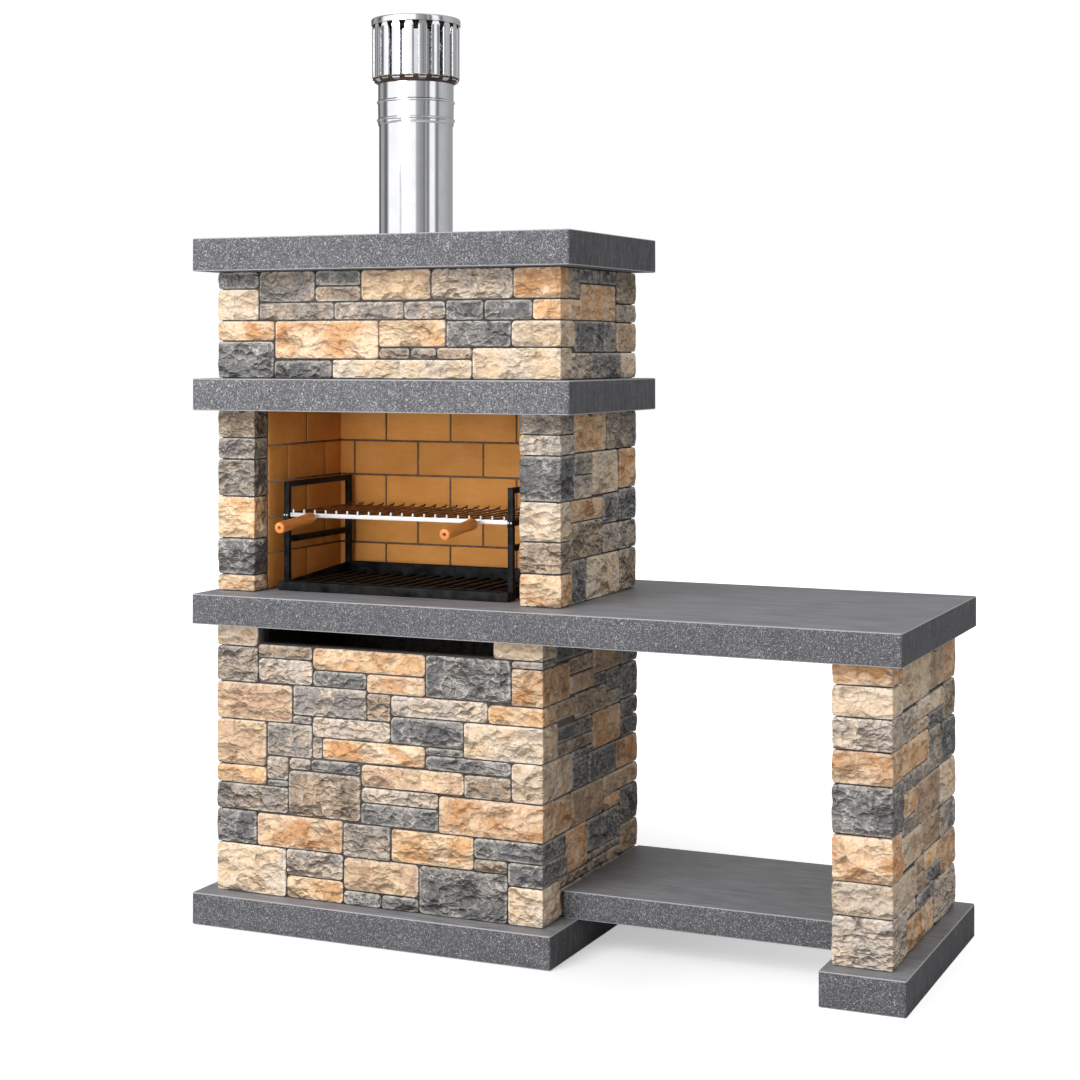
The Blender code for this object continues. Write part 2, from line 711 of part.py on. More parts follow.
def build_table_pier(material):
    body = StoneBody(
        (PIER_LEFT, 0, BASE_THICKNESS), (PIER_RIGHT, BODY_DEPTH, COUNTER_UNDERSIDE),
        PIER_DRAWN, 41,
    )
    front = pier_courses(PIER_FRONT_COURSES, PIER_FRONT_RETURNS)
    rear = pier_courses(PIER_REAR_COURSES, PIER_REAR_RETURNS)
    core = core_box(
        body, 0, STONE_PROUD, body.width - STONE_PROUD, STONE_PROUD, body.depth - STONE_PROUD
    )
    stones = bmesh.new()
    edge = CORNER_CHAMFER
    for face, courses in ((0, front), (2, rear)):
        for bottom, top, back in courses:
            back = body.along(1, back) - STONE_JOINT / 2
            outline = [
                (edge, 0), (body.width - edge, 0), (body.width, edge), (body.width, back),
                (0, back), (0, edge),
            ]
            half = STONE_JOINT / 2
            add_prism(
                stones, outline, body.up(bottom) + half, body.up(top) - half, body.frame(face)
            )
    for row in PIER_RIGHT_SIDE:
        body.stone(stones, 1, *row)
    length = PIER_DRAWN[1]
    taken = [(length - back, length, bottom, top) for bottom, top, back in front]
    taken += [(0, back, bottom, top) for bottom, top, back in rear]
    for row in body.rubble(3, taken):
        body.stone(stones, 3, *row)
    faced("table_pier", core, stones, material)


# Brick lining


def brick_panel(name, frame, length, height, thickness, offset, material):
    """A panel of bricks in running bond, standing a little proud of their joints."""
    core = bmesh.new()
    made = add_block(core, (0, BRICK_PROUD, 0), (length, thickness, height))
    bmesh.ops.transform(core, matrix=frame, verts=made)
    bricks = bmesh.new()
    course = height / BRICK_COURSES
    half = BRICK_JOINT / 2
    for row in range(BRICK_COURSES):
        shift = offset + (BRICK_LENGTH / 2 if row % 2 else 0)
        start = shift % BRICK_LENGTH - BRICK_LENGTH
        while start < length - BRICK_LENGTH / 8:
            left = max(start, 0)
            right = min(start + BRICK_LENGTH, length)
            start += BRICK_LENGTH
            if right - left < BRICK_LENGTH / 8:
                continue
            low = (left + half, 0, row * course + half)
            high = (right - half, BRICK_PROUD + STONE_SINK, (row + 1) * course - half)
            taper_block(bricks, low, high, BRICK_TAPER, frame)
    panel = add_object(name, mesh_from(core, name), material)
    face = add_object(name + "_bricks", mesh_from(bricks, name + "_bricks"), None, helper=True)
    boolean(panel, "UNION", face)
    return panel


def build_lining(material):
    bottom = COUNTER_TOP + GAP
    height = FIREBOX_HEIGHT - 2 * GAP
    depth = LINING_REAR - LINING_FRONT - GAP
    left = Matrix.Translation((FIREBOX_LEFT, LINING_FRONT, bottom))
    left = left @ Matrix.Rotation(math.pi / 2, 4, "Z")
    brick_panel("firebrick_left", left, depth, height, LINING, BRICK_LENGTH, material)
    right = Matrix.Translation((FIREBOX_RIGHT, LINING_REAR - GAP, bottom))
    right = right @ Matrix.Rotation(-math.pi / 2, 4, "Z")
    brick_panel(
        "firebrick_right", right, depth, height, LINING, depth % BRICK_LENGTH, material
    )
    rear_left = FIREBOX_LEFT - LINING
    rear_length = FIREBOX_RIGHT + LINING - rear_left
    rear = Matrix.Translation((rear_left, LINING_REAR, bottom))
    brick_panel(
        "firebrick_rear", rear, rear_length, height, LINING, LINING + BRICK_LENGTH * 0.72, material
    )


# Flue and cowl


def turned(name, profile, centre, bottom, material, steps=ROUND_STEPS, helper=False):
    """A turned shape. The profile runs down the outer side and up the inner one, closed."""
    mesh = bpy.data.meshes.new(name)
    points = [(radius, 0, height) for radius, height in profile]
    edges = [(i, (i + 1) % len(points)) for i in range(len(points))]
    mesh.from_pydata(points, edges, [])
    obj = add_object(name, mesh, material, (centre[0], centre[1], bottom), helper=helper)
    screw = obj.modifiers.new("turn", "SCREW")
    screw.axis = "Z"
    screw.steps = steps
    screw.render_steps = steps
    screw.use_merge_vertices = True
    screw.merge_threshold = 0.00001
    screw.use_smooth_shade = True
    return obj


def bead_profile(radius, height, proud, tall):
    """Three points of a rolled bead on a sheet, from above it to below it."""
    return [(radius, height + tall / 2), (radius + proud, height), (radius, height - tall / 2)]


def ring_places(phase):
    """The frames of the slats round the cowl, with -Y pointing out of each slat."""
    for index in range(SLAT_COUNT):
        angle = 2 * math.pi * (index + phase) / SLAT_COUNT
        yield Matrix.Rotation(angle, 4, "Z")


def ring_helper(name, outer, inner, bottom, phase):
    """A flat ring with one flat below each slat. The radii are those of the flats."""
    wider = 1 / math.cos(math.pi / SLAT_COUNT)
    outer, inner, top = outer * wider, inner * wider, SLAT_RING
    ring = turned(
        name, [(outer, top), (outer, 0), (inner, 0), (inner, top)],
        (FLUE_X, FLUE_Y), bottom, None, SLAT_COUNT, helper=True,
    )
    ring.rotation_euler.z = (phase + 0.5) * 2 * math.pi / SLAT_COUNT
    return ring


def outer_slats(name, bottom, top, material):
    """Upright channels with their flanges folded inwards, each with a tab up to the cap."""
    half, sheet, flange = SLAT_WIDTH / 2, SLAT_SHEET, SLAT_FLANGE
    channel = [
        (-half, 0), (half, 0), (half, flange), (half - sheet, flange), (half - sheet, sheet),
        (sheet - half, sheet), (sheet - half, flange), (-half, flange),
    ]
    channels, tabs = bmesh.new(), bmesh.new()
    out = Matrix.Translation((0, -COWL_RADIUS, 0))
    shoulder = top - SLAT_SHOULDER
    low = (-SLAT_TAB / 2, GAP, shoulder - flange)
    high = (SLAT_TAB / 2, sheet - GAP, top)
    for place in ring_places(0):
        add_prism(channels, channel, bottom + SLAT_RING - SLAT_SHEET, shoulder, place @ out)
        made = add_block(tabs, low, high)
        bmesh.ops.transform(tabs, matrix=place @ out, verts=made)
    slats = joined(name, channels, [tabs], material, (FLUE_X, FLUE_Y, 0))
    edge = 2 * GAP
    ring = ring_helper(
        name + "_ring", COWL_RADIUS + edge, COWL_RADIUS - flange - edge, bottom, 0
    )
    boolean(slats, "UNION", ring)


def inner_slats(name, bottom, top, material):
    """Flat slats behind the gaps of the outer ones."""
    half, sheet = INNER_SLAT_WIDTH / 2, SLAT_SHEET
    plates = bmesh.new()
    out = Matrix.Translation((0, -INNER_SLAT_RADIUS, 0))
    for place in ring_places(0.5):
        made = add_block(plates, (-half, 0, bottom + SLAT_RING - sheet), (half, sheet, top))
        bmesh.ops.transform(plates, matrix=place @ out, verts=made)
    slats = add_object(name, mesh_from(plates, name), material, (FLUE_X, FLUE_Y, 0))
    edge = 2 * GAP
    ring = ring_helper(
        name + "_ring", INNER_SLAT_RADIUS + edge, INNER_SLAT_RADIUS - sheet - edge, bottom, 0.5
    )
    boolean(slats, "UNION", ring)


def build_flue(material):
    centre = (FLUE_X, FLUE_Y)
    seat = TOP_TOP - FLUE_SEAT_DEPTH + GAP
    pipe_top = TOP_TOP + FLUE_ABOVE_SLAB
    inner = FLUE_RADIUS - FLUE_WALL
    height = pipe_top - seat
    turned(
        "flue_pipe", [(FLUE_RADIUS, height), (FLUE_RADIUS, 0), (inner, 0), (inner, height)],
        centre, seat, material,
    )
    cone_bottom = pipe_top + 2 * GAP
    sleeve_bottom = cone_bottom - SLEEVE_BELOW_CONE
    bore = FLUE_RADIUS + GAP
    profile = [(SLEEVE_RADIUS, SLEEVE_BELOW_CONE - GAP)]
    for place in (UPPER_BEAD, LOWER_BEAD):
        profile += bead_profile(SLEEVE_RADIUS, place, BEAD_PROUD, BEAD_HEIGHT)
    profile += [(SLEEVE_RADIUS, 0), (bore, 0), (bore, SLEEVE_BELOW_CONE - GAP)]
    turned("cowl_sleeve", profile, centre, sleeve_bottom, material)
    turned(
        "cowl_cone",
        [
            (COWL_RADIUS, CONE_HEIGHT), (SLEEVE_RADIUS, 0), (FLUE_RADIUS - FLUE_WALL, 0),
            (INNER_SLAT_RADIUS - 2 * SLAT_SHEET, CONE_HEIGHT),
        ],
        centre, cone_bottom, material,
    )
    floor = cone_bottom + CONE_HEIGHT + GAP
    cap_under = floor + COWL_HEIGHT
    outer_slats("cowl_outer_slats", floor, cap_under - GAP, material)
    inner_slats("cowl_inner_slats", floor, cap_under - INNER_SLAT_SHORT, material)
    rim_bottom = -CAP_RIM
    lip = math.hypot(COWL_RADIUS, SLAT_TAB / 2) / math.cos(math.pi / ROUND_STEPS) + GAP
    edge = lip + CAP_SHEET
    turned(
        "cowl_cap",
        [
            (0, CAP_CROWN + CAP_SHEET), (edge - CAP_CROWN, CAP_SHEET + CAP_CROWN / 2),
            (edge, -CAP_CROWN / 2), (edge, rim_bottom), (lip, rim_bottom), (lip, 0), (0, 0),
        ],
        centre, cap_under, material,
    )


# Steel rods and tubes


def add_tube(bm, start, end, width, height=None):
    """A square tube, taken as solid, between two points on one axis."""
    height = height or width
    start, end = Vector(start), Vector(end)
    half = Vector((width / 2, width / 2, height / 2))
    along = (end - start).normalized()
    for axis in range(3):
        if abs(along[axis]) > 0.5:
            half[axis] = 0
    low = Vector(map(min, start, end)) - half
    high = Vector(map(max, start, end)) + half
    return add_block(bm, low, high)


def rod_mesh(name, points, radius, resolution=0):
    """A round rod along points, as a mesh with welded caps."""
    curve = bpy.data.curves.new(name, "CURVE")
    curve.dimensions = "3D"
    curve.bevel_depth = radius
    curve.bevel_resolution = resolution
    curve.use_fill_caps = True
    line = curve.splines.new("POLY")
    line.points.add(len(points) - 1)
    for point, place in zip(line.points, points):
        point.co = (*place, 1.0)
    source = bpy.data.objects.new(name, curve)
    bpy.context.scene.collection.objects.link(source)
    bpy.context.view_layer.update()
    evaluated = source.evaluated_get(bpy.context.evaluated_depsgraph_get())
    mesh = bpy.data.meshes.new_from_object(evaluated)
    bm = bmesh.new()
    bm.from_mesh(mesh)
    bmesh.ops.remove_doubles(bm, verts=bm.verts, dist=0.00001)
    bpy.data.objects.remove(source)
    bpy.data.curves.remove(curve)
    bpy.data.meshes.remove(mesh)
    return bm


def merge_into(target, source):
    """Adds one bmesh's shapes to another."""
    mesh = bpy.data.meshes.new("part")
    source.to_mesh(mesh)
    source.free()
    target.from_mesh(mesh)
    bpy.data.meshes.remove(mesh)


def joined(name, base, helpers, material, location=(0, 0, 0), parent=None):
    """One solid from a base shape and others that overlap it."""
    obj = add_object(name, mesh_from(base, name), material, location, parent)
    for index, shapes in enumerate(helpers):
        part_name = f"{name}_join_{index}"
        helper = add_object(part_name, mesh_from(shapes, part_name), None, helper=True)
        helper.matrix_world = Matrix.Translation(
            Vector(location) + (parent.location if parent else Vector())
        )
        boolean(obj, "UNION", helper)
    return obj


def side_frame(name, x, inward, material):
    """Two posts with a top rail and two rungs, each rung with a ledge on its inner side."""
    floor = COUNTER_TOP + GAP
    top = COUNTER_TOP + CARRIER_HEIGHT
    posts = bmesh.new()
    for y in (CARRIER_FRONT, CARRIER_REAR):
        add_tube(posts, (x, y, floor), (x, y, top), TUBE)
    rails = bmesh.new()
    reach = TUBE / 4
    low, high = CARRIER_FRONT + reach, CARRIER_REAR - reach
    middle = top - TUBE / 2 - GAP
    for height in (middle, COUNTER_TOP + LOW_RUNG, COUNTER_TOP + GRILL_RUNG):
        add_tube(rails, (x, low, height), (x, high, height), TUBE - 2 * GAP, TUBE)
    ledges = bmesh.new()
    for height in (LOW_RUNG, GRILL_RUNG):
        bottom = COUNTER_TOP + height - TUBE / 2 + GAP
        edge = x + inward * (TUBE / 2 + RUNG_LEDGE)
        root = x + inward * TUBE / 4
        add_block(
            ledges,
            (min(edge, root), low, bottom),
            (max(edge, root), high, bottom + RUNG_LEDGE_SHEET),
        )
    return joined(name, posts, [rails, ledges], material)


def build_carrier(material):
    side_frame("carrier_left_frame", CARRIER_LEFT, 1, material)
    side_frame("carrier_right_frame", CARRIER_RIGHT, -1, material)
    half = TUBE / 2
    floor = COUNTER_TOP + GAP
    left, right = CARRIER_LEFT - half, CARRIER_RIGHT + half
    post_front = CARRIER_FRONT - half - GAP
    bm = bmesh.new()
    outline = [
        (left, RAIL_FRONT), (right, RAIL_FRONT), (right, post_front),
        (right - TUBE, post_front), (right - TUBE, RAIL_FRONT + RAIL_DEPTH),
        (left + TUBE, RAIL_FRONT + RAIL_DEPTH), (left + TUBE, post_front), (left, post_front),
    ]
    add_prism(bm, outline, floor, COUNTER_TOP + RAIL_HEIGHT)
    front = add_object("carrier_front_rail", mesh_from(bm, "carrier_front_rail"), material)
    bevel(front, RAIL_EDGE)
    slab(
        "carrier_rear_rail",
        (CARRIER_LEFT + half + GAP, CARRIER_REAR - half, floor),
        (CARRIER_RIGHT - half - GAP, CARRIER_REAR + half, COUNTER_TOP + TUBE),
        material, RAIL_EDGE / 2,
    )


def tray_box():
    half = TUBE / 2
    left = CARRIER_LEFT + half + TRAY_CLEARANCE
    right = CARRIER_RIGHT - half - TRAY_CLEARANCE
    front = RAIL_FRONT + RAIL_DEPTH + TRAY_CLEARANCE
    rear = CARRIER_REAR - half - TRAY_CLEARANCE
    return left, right, front, rear


def build_tray(parent, material):
    """A pan with a low front wall, a high rear wall and sloping sides."""
    left, right, front, rear = tray_box()
    floor = COUNTER_TOP + GAP
    offset = parent.location
    bm = bmesh.new()
    made = add_block(bm, (left, front, floor), (right, rear, COUNTER_TOP + TRAY_REAR_HEIGHT))
    for vertex in made:
        if vertex.co.z > COUNTER_TOP + TRAY_SHEET and vertex.co.y < (front + rear) / 2:
            vertex.co.z = COUNTER_TOP + TRAY_FRONT_HEIGHT
    bmesh.ops.translate(bm, verts=made, vec=-offset)
    tray = add_object("coal_tray", mesh_from(bm, "coal_tray"), material, (0, 0, 0), parent)
    sheet = TRAY_SHEET
    cutter = box_cutter(
        "tray_hollow",
        (left + sheet, front + sheet, floor + sheet),
        (right - sheet, rear - sheet, COUNTER_TOP + CARRIER_HEIGHT),
    )
    boolean(tray, "DIFFERENCE", cutter)
    return tray


def build_coal_grate(parent, material):
    """Bars from front to rear on two cross bars, with a lifting lug at the rear left."""
    left, right, front, rear = tray_box()
    inset = TRAY_SHEET + GRATE_CLEARANCE
    left, right, front, rear = left + inset, right - inset, front + inset, rear - inset
    offset = parent.location
    under = COUNTER_TOP + 2 * GAP + TRAY_SHEET
    cross = bmesh.new()
    cross_top = under + GRATE_LIFT
    for share in (0.2, 0.8):
        y = front + (rear - front) * share
        add_block(cross, (left, y - GRATE_ROD / 2, under), (right, y + GRATE_ROD / 2, cross_top))
    bmesh.ops.translate(cross, verts=cross.verts, vec=-offset)
    bars = bmesh.new()
    radius = GRATE_ROD / 2
    height = cross_top + radius / 2
    for index in range(GRATE_BARS):
        x = left + radius + (right - left - 2 * radius) * index / (GRATE_BARS - 1)
        points = [(x, front, height), (x, rear, height)]
        merge_into(bars, rod_mesh("bar", points, radius))
    bmesh.ops.translate(bars, verts=bars.verts, vec=-offset)
    lug = bmesh.new()
    spacing = (right - left - 2 * radius) / (GRATE_BARS - 1)
    lug_left = left + radius + spacing
    lug_y = rear - GRATE_LUG
    loop = [
        (lug_left, lug_y, height), (lug_left, lug_y, height + GRATE_LUG / 2),
        (lug_left + spacing, lug_y, height + GRATE_LUG / 2), (lug_left + spacing, lug_y, height),
    ]
    merge_into(lug, rod_mesh("lug", loop, radius / 2))
    bmesh.ops.translate(lug, verts=lug.verts, vec=-offset)
    return joined("coal_grate", cross, [bars, lug], material, (0, 0, 0), parent)


def grill_floor():
    return COUNTER_TOP + GRILL_RUNG - TUBE / 2 + GAP + RUNG_LEDGE_SHEET + GAP


def build_grill(parent, material):
    """Rods from front to rear with turned-up ends, welded over a frame of flat bars."""
    half = TUBE / 2
    left = CARRIER_LEFT + half + GRILL_CLEARANCE
    right = CARRIER_RIGHT - half - GRILL_CLEARANCE
    front = CARRIER_FRONT - GRILL_BAR_SHEET / 2
    rear = CARRIER_REAR - GRILL_REAR_INSET
    bottom = grill_floor()
    top = bottom + GRILL_BAR_HEIGHT
    sheet = GRILL_BAR_SHEET
    offset = parent.location
    bars = bmesh.new()
    add_block(bars, (left, front, bottom), (right, front + sheet, top))
    sides = bmesh.new()
    for x in (left, right - sheet):
        add_block(sides, (x, front + sheet / 2, bottom), (x + sheet, rear, top - GAP))
    back = bmesh.new()
    add_block(back, (left + sheet / 2, rear - sheet, bottom + GAP), (right - sheet / 2, rear - GAP, top))
    rods = bmesh.new()
    radius = GRILL_ROD / 2
    height = top + radius / 2
    start = left + 2 * sheet
    end = right - 2 * sheet
    for index in range(GRILL_RODS):
        x = start + (end - start) * index / (GRILL_RODS - 1)
        points = [
            (x, front - radius / 2, height + GRILL_TIP), (x, front + radius / 2, height),
            (x, rear - radius, height), (x, rear + radius, height + GRILL_TIP),
        ]
        merge_into(rods, rod_mesh("rod", points, radius))
    for shapes in (bars, sides, back, rods):
        bmesh.ops.translate(shapes, verts=shapes.verts, vec=-offset)
    return joined("cooking_grill", bars, [sides, back, rods], material, (0, 0, 0), parent)


def handle_frame(x):
    """The handle's own frame: it runs along its -Y, sloping down from the grill's front bar."""
    root = (x, CARRIER_FRONT - GRILL_BAR_SHEET / 2, grill_floor() + GRILL_BAR_HEIGHT / 2)
    return Matrix.Translation(root) @ Matrix.Rotation(HANDLE_SLOPE, 4, "X")


def turned_along(name, profile, x, distance, parent, material, steps=12):
    """A turned piece on the handle's axis. Its profile starts at the end nearer the grill."""
    obj = turned(name, profile, (0, 0), 0, material, steps)
    quarter = Matrix.Rotation(math.pi / 2, 4, "X")
    place = handle_frame(x) @ Matrix.Translation((0, -distance, 0)) @ quarter
    obj.parent = parent
    obj.matrix_parent_inverse = Matrix.Translation(-parent.location)
    obj.matrix_basis = place
    return obj


def build_handle(side, x, parent, steel, wood):
    radius = HANDLE_ROD / 2
    neck = HANDLE_NECK
    start = 3 * GAP
    reach = neck + FERRULE_LENGTH + GRIP_LENGTH * 0.85
    length = reach - start
    # A rod with a ferrule that the wooden grip stops against
    ferrule = neck - start
    turned_along(
        f"{side}_handle_rod",
        [
            (0, length), (radius, length), (radius, ferrule + FERRULE_LENGTH),
            (FERRULE_RADIUS, ferrule + FERRULE_LENGTH), (FERRULE_RADIUS * 0.8, ferrule),
            (radius, ferrule - radius), (radius, 0), (0, 0),
        ],
        x, start, parent, steel,
    )
    bore = radius + GAP
    grip_start = neck + FERRULE_LENGTH + GAP
    end = GRIP_LENGTH
    ring = GRIP_RADIUS
    turned_along(
        f"{side}_grip",
        [
            (GRIP_BORE, end), (ring * 0.9, end), (ring, end * 0.96), (ring, end * 0.84),
            (GRIP_WAIST, end * 0.55), (GRIP_WAIST, end * 0.35), (ring, end * 0.12),
            (ring * 0.95, end * 0.04), (ring * 0.75, 0), (bore, 0),
            (bore, end * 0.86), (GRIP_BORE, end * 0.86 + GAP),
        ],
        x, grip_start, parent, wood,
    )


def joint_empty(name, location):
    empty = bpy.data.objects.new(name, None)
    PARTS.objects.link(empty)
    empty.location = location
    empty.empty_display_size = 0.05
    return empty


def build():
    slab_stone = new_material("slab_stone", SLAB_GREY, 0.45)
    rubble_stone = new_material("rubble_stone", STONE_MIX, 0.8)
    firebrick = new_material("firebrick", BRICK_ORANGE, 0.75)
    bright_steel = new_material("bright_steel", STEEL_BRIGHT, 0.15, 1.0)
    black_steel = new_material("black_steel", STEEL_BLACK, 0.4)
    grill_steel = new_material("grill_steel", GRILL_BROWN, 0.45, 0.8)
    turned_wood = new_material("turned_wood", WOOD_TAN, 0.5)
    build_slabs(slab_stone)
    build_lower_body(rubble_stone)
    build_firebox(rubble_stone)
    build_hood(rubble_stone)
    build_table_pier(rubble_stone)
    build_lining(firebrick)
    build_flue(bright_steel)
    build_carrier(black_steel)
    left, right, front, _ = tray_box()
    middle = (left + right) / 2
    tray_lift = joint_empty("tray_lift", (middle, front, COUNTER_TOP))
    grate_lift = joint_empty("grate_lift", (middle, front, COUNTER_TOP + TRAY_SHEET))
    grill_slide = joint_empty("grill_slide", (middle, CARRIER_FRONT, grill_floor()))
    build_tray(tray_lift, black_steel)
    build_coal_grate(grate_lift, black_steel)
    build_grill(grill_slide, grill_steel)
    build_handle("left", HANDLE_LEFT, grill_slide, bright_steel, turned_wood)
    build_handle("right", HANDLE_RIGHT, grill_slide, bright_steel, turned_wood)


build()
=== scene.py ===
"""The finish of a garden barbecue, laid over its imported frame.

Each wall gets its stones one by one, with split faces and rounded edges. The slabs,
firebricks, flue, cowl, carrier, grates and turned grips follow. Lengths are in metres.
"""

import json
import math
import random

import bmesh
import bpy
import numpy as np
from bpy.props import FloatProperty, FloatVectorProperty, IntProperty, PointerProperty
from mathutils import Matrix, Vector, noise

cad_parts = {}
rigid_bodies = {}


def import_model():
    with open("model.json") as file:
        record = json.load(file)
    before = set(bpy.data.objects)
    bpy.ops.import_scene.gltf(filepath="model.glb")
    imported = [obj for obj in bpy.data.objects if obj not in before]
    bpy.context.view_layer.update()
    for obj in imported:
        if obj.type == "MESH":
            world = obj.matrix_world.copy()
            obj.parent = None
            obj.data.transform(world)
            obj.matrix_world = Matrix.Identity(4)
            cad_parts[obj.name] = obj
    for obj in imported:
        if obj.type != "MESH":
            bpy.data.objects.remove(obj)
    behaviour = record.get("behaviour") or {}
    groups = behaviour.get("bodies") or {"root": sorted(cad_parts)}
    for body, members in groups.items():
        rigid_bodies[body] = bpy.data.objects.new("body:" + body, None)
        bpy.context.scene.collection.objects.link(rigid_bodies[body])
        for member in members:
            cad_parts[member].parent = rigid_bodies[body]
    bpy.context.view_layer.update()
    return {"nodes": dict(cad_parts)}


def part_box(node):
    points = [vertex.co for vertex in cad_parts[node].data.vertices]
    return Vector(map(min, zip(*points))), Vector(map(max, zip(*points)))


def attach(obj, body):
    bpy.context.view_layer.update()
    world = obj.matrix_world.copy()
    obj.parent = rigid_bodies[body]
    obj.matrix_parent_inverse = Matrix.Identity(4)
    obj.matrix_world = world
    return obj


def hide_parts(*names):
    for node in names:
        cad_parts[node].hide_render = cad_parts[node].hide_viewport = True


for startup in list(bpy.data.objects):
    bpy.data.objects.remove(startup)

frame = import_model()

bl_info = {
    "name": "Garden Barbecue Finish",
    "version": (1, 0, 0),
    "blender": (4, 5, 0),
    "location": "3D View > Sidebar > Barbecue",
    "description": "Stone, slab, brick and steel pieces of a garden barbecue",
    "category": "Object",
}

# Distance that keeps two faces from lying in one plane
GAP = 0.0003

CREAM, OCHRE, ORANGE, PINK, TAN = "cream", "ochre", "orange", "pink", "tan"
LIGHT, MID, DARK, BROWN = "light", "mid", "dark", "brown"
TONES = (CREAM, OCHRE, ORANGE, PINK, TAN, LIGHT, MID, DARK, BROWN)

# Stones of the drawn faces: left, right, bottom and top in millimetres, and the tone.
# A corner row is bottom, top, its length before and after the corner, and the tone.
LOWER_DRAWN = (955, 650, 715)
LOWER_FRONT = [
    (212, 383, 60, 130, MID), (212, 383, 0, 60, OCHRE), (383, 604, 38, 125, PINK),
    (383, 495, 0, 38, DARK), (495, 604, 0, 38, DARK), (604, 855, 0, 125, DARK),
    (761, 855, 125, 158, BROWN), (123, 383, 130, 218, ORANGE), (383, 523, 125, 214, MID),
    (523, 761, 125, 211, OCHRE), (435, 661, 214, 270, DARK), (435, 661, 270, 311, LIGHT),
    (219, 435, 218, 338, BROWN), (152, 219, 290, 308, DARK), (152, 219, 308, 371, MID),
    (219, 287, 338, 371, MID), (287, 435, 338, 371, DARK), (435, 733, 311, 370, PINK),
    (733, 865, 308, 368, BROWN), (622, 865, 370, 408, DARK), (320, 622, 372, 429, ORANGE),
    (290, 320, 372, 429, MID), (622, 732, 408, 429, DARK), (522, 732, 429, 500, DARK),
    (290, 522, 429, 483, LIGHT), (152, 290, 371, 460, MID), (231, 290, 460, 483, MID),
    (231, 452, 483, 562, MID), (452, 522, 483, 555, BROWN), (522, 800, 500, 555, LIGHT),
    (452, 623, 555, 605, ORANGE), (291, 452, 562, 605, DARK), (291, 623, 605, 665, OCHRE),
    (623, 865, 555, 665, DARK), (126, 291, 562, 628, LIGHT), (126, 291, 628, 665, BROWN),
]
LOWER_RIGHT = [
    (92, 342, 650, 715, DARK), (180, 342, 606, 650, BROWN), (180, 342, 556, 606, TAN),
    (342, 536, 586, 715, TAN), (342, 438, 553, 586, DARK), (438, 536, 528, 586, DARK),
    (438, 536, 485, 528, MID), (85, 220, 500, 550, TAN), (220, 438, 485, 553, BROWN),
    (102, 337, 442, 485, DARK), (102, 337, 408, 442, BROWN), (337, 536, 387, 485, ORANGE),
    (198, 337, 387, 408, DARK), (198, 308, 305, 387, DARK), (308, 500, 305, 387, DARK),
    (88, 194, 211, 305, ORANGE), (194, 410, 211, 305, TAN), (410, 527, 210, 250, OCHRE),
    (158, 304, 98, 211, ORANGE), (304, 527, 122, 210, DARK), (304, 527, 102, 122, MID),
    (112, 304, 72, 98, BROWN), (304, 430, 72, 102, BROWN), (430, 527, 72, 102, BROWN),
    (112, 270, 0, 72, TAN), (270, 400, 0, 72, DARK), (400, 527, 0, 72, MID),
]
LOWER_CORNERS = [
    [
        (0, 130, 130, 212, CREAM), (130, 220, 190, 123, DARK), (220, 290, 110, 219, MID),
        (290, 340, 170, 152, OCHRE), (340, 460, 120, 152, PINK), (460, 560, 180, 231, PINK),
        (560, 655, 100, 126, MID), (655, 715, 160, 126, CREAM),
    ],
    [
        (0, 98, 100, 112, CREAM), (98, 158, 100, 158, DARK), (158, 211, 194, 158, DARK),
        (211, 308, 294, 88, ORANGE), (308, 408, 90, 198, CREAM), (408, 500, 223, 102, CREAM),
        (500, 550, 155, 85, OCHRE), (550, 645, 90, 180, ORANGE), (645, 665, 90, 92, MID),
        (665, 715, 140, 92, CREAM),
    ],
    [
        (0, 70, 123, 200, BROWN), (70, 150, 123, 110, TAN), (150, 250, 123, 230, DARK),
        (250, 305, 240, 120, TAN), (305, 385, 150, 190, ORANGE), (385, 440, 114, 110, DARK),
        (440, 490, 114, 210, DARK), (490, 585, 114, 130, DARK), (585, 715, 114, 180, DARK),
    ],
    [
        (0, 90, 190, 110, CREAM), (90, 180, 110, 180, DARK), (180, 250, 210, 100, ORANGE),
        (250, 350, 120, 160, LIGHT), (350, 410, 200, 100, BROWN), (410, 500, 110, 190, OCHRE),
        (500, 590, 180, 120, DARK), (590, 650, 110, 160, PINK), (650, 715, 170, 110, MID),
    ],
]
HOOD_DRAWN = (1011, 519, 287)
HOOD_FRONT = [
    (174, 351, 0, 50, DARK), (351, 761, 0, 52, CREAM), (490, 583, 52, 83, BROWN),
    (583, 659, 52, 83, MID), (659, 761, 52, 83, BROWN), (176, 490, 52, 155, ORANGE),
    (490, 686, 83, 155, OCHRE), (686, 871, 83, 152, DARK), (126, 356, 155, 203, MID),
    (356, 564, 155, 203, MID), (564, 686, 155, 203, MID), (686, 794, 152, 205, DARK),
    (794, 930, 152, 205, DARK), (126, 299, 203, 287, MID), (299, 437, 245, 287, DARK),
    (299, 437, 203, 245, BROWN), (437, 642, 205, 287, PINK), (642, 876, 206, 287, LIGHT),
]
HOOD_RIGHT = [
    (66, 137, 208, 287, MID), (137, 266, 248, 287, DARK), (266, 388, 248, 287, DARK),
    (142, 384, 152, 248, OCHRE), (98, 300, 70, 152, DARK), (79, 204, 0, 70, LIGHT),
    (204, 413, 0, 70, DARK), (300, 384, 70, 152, MID),
]
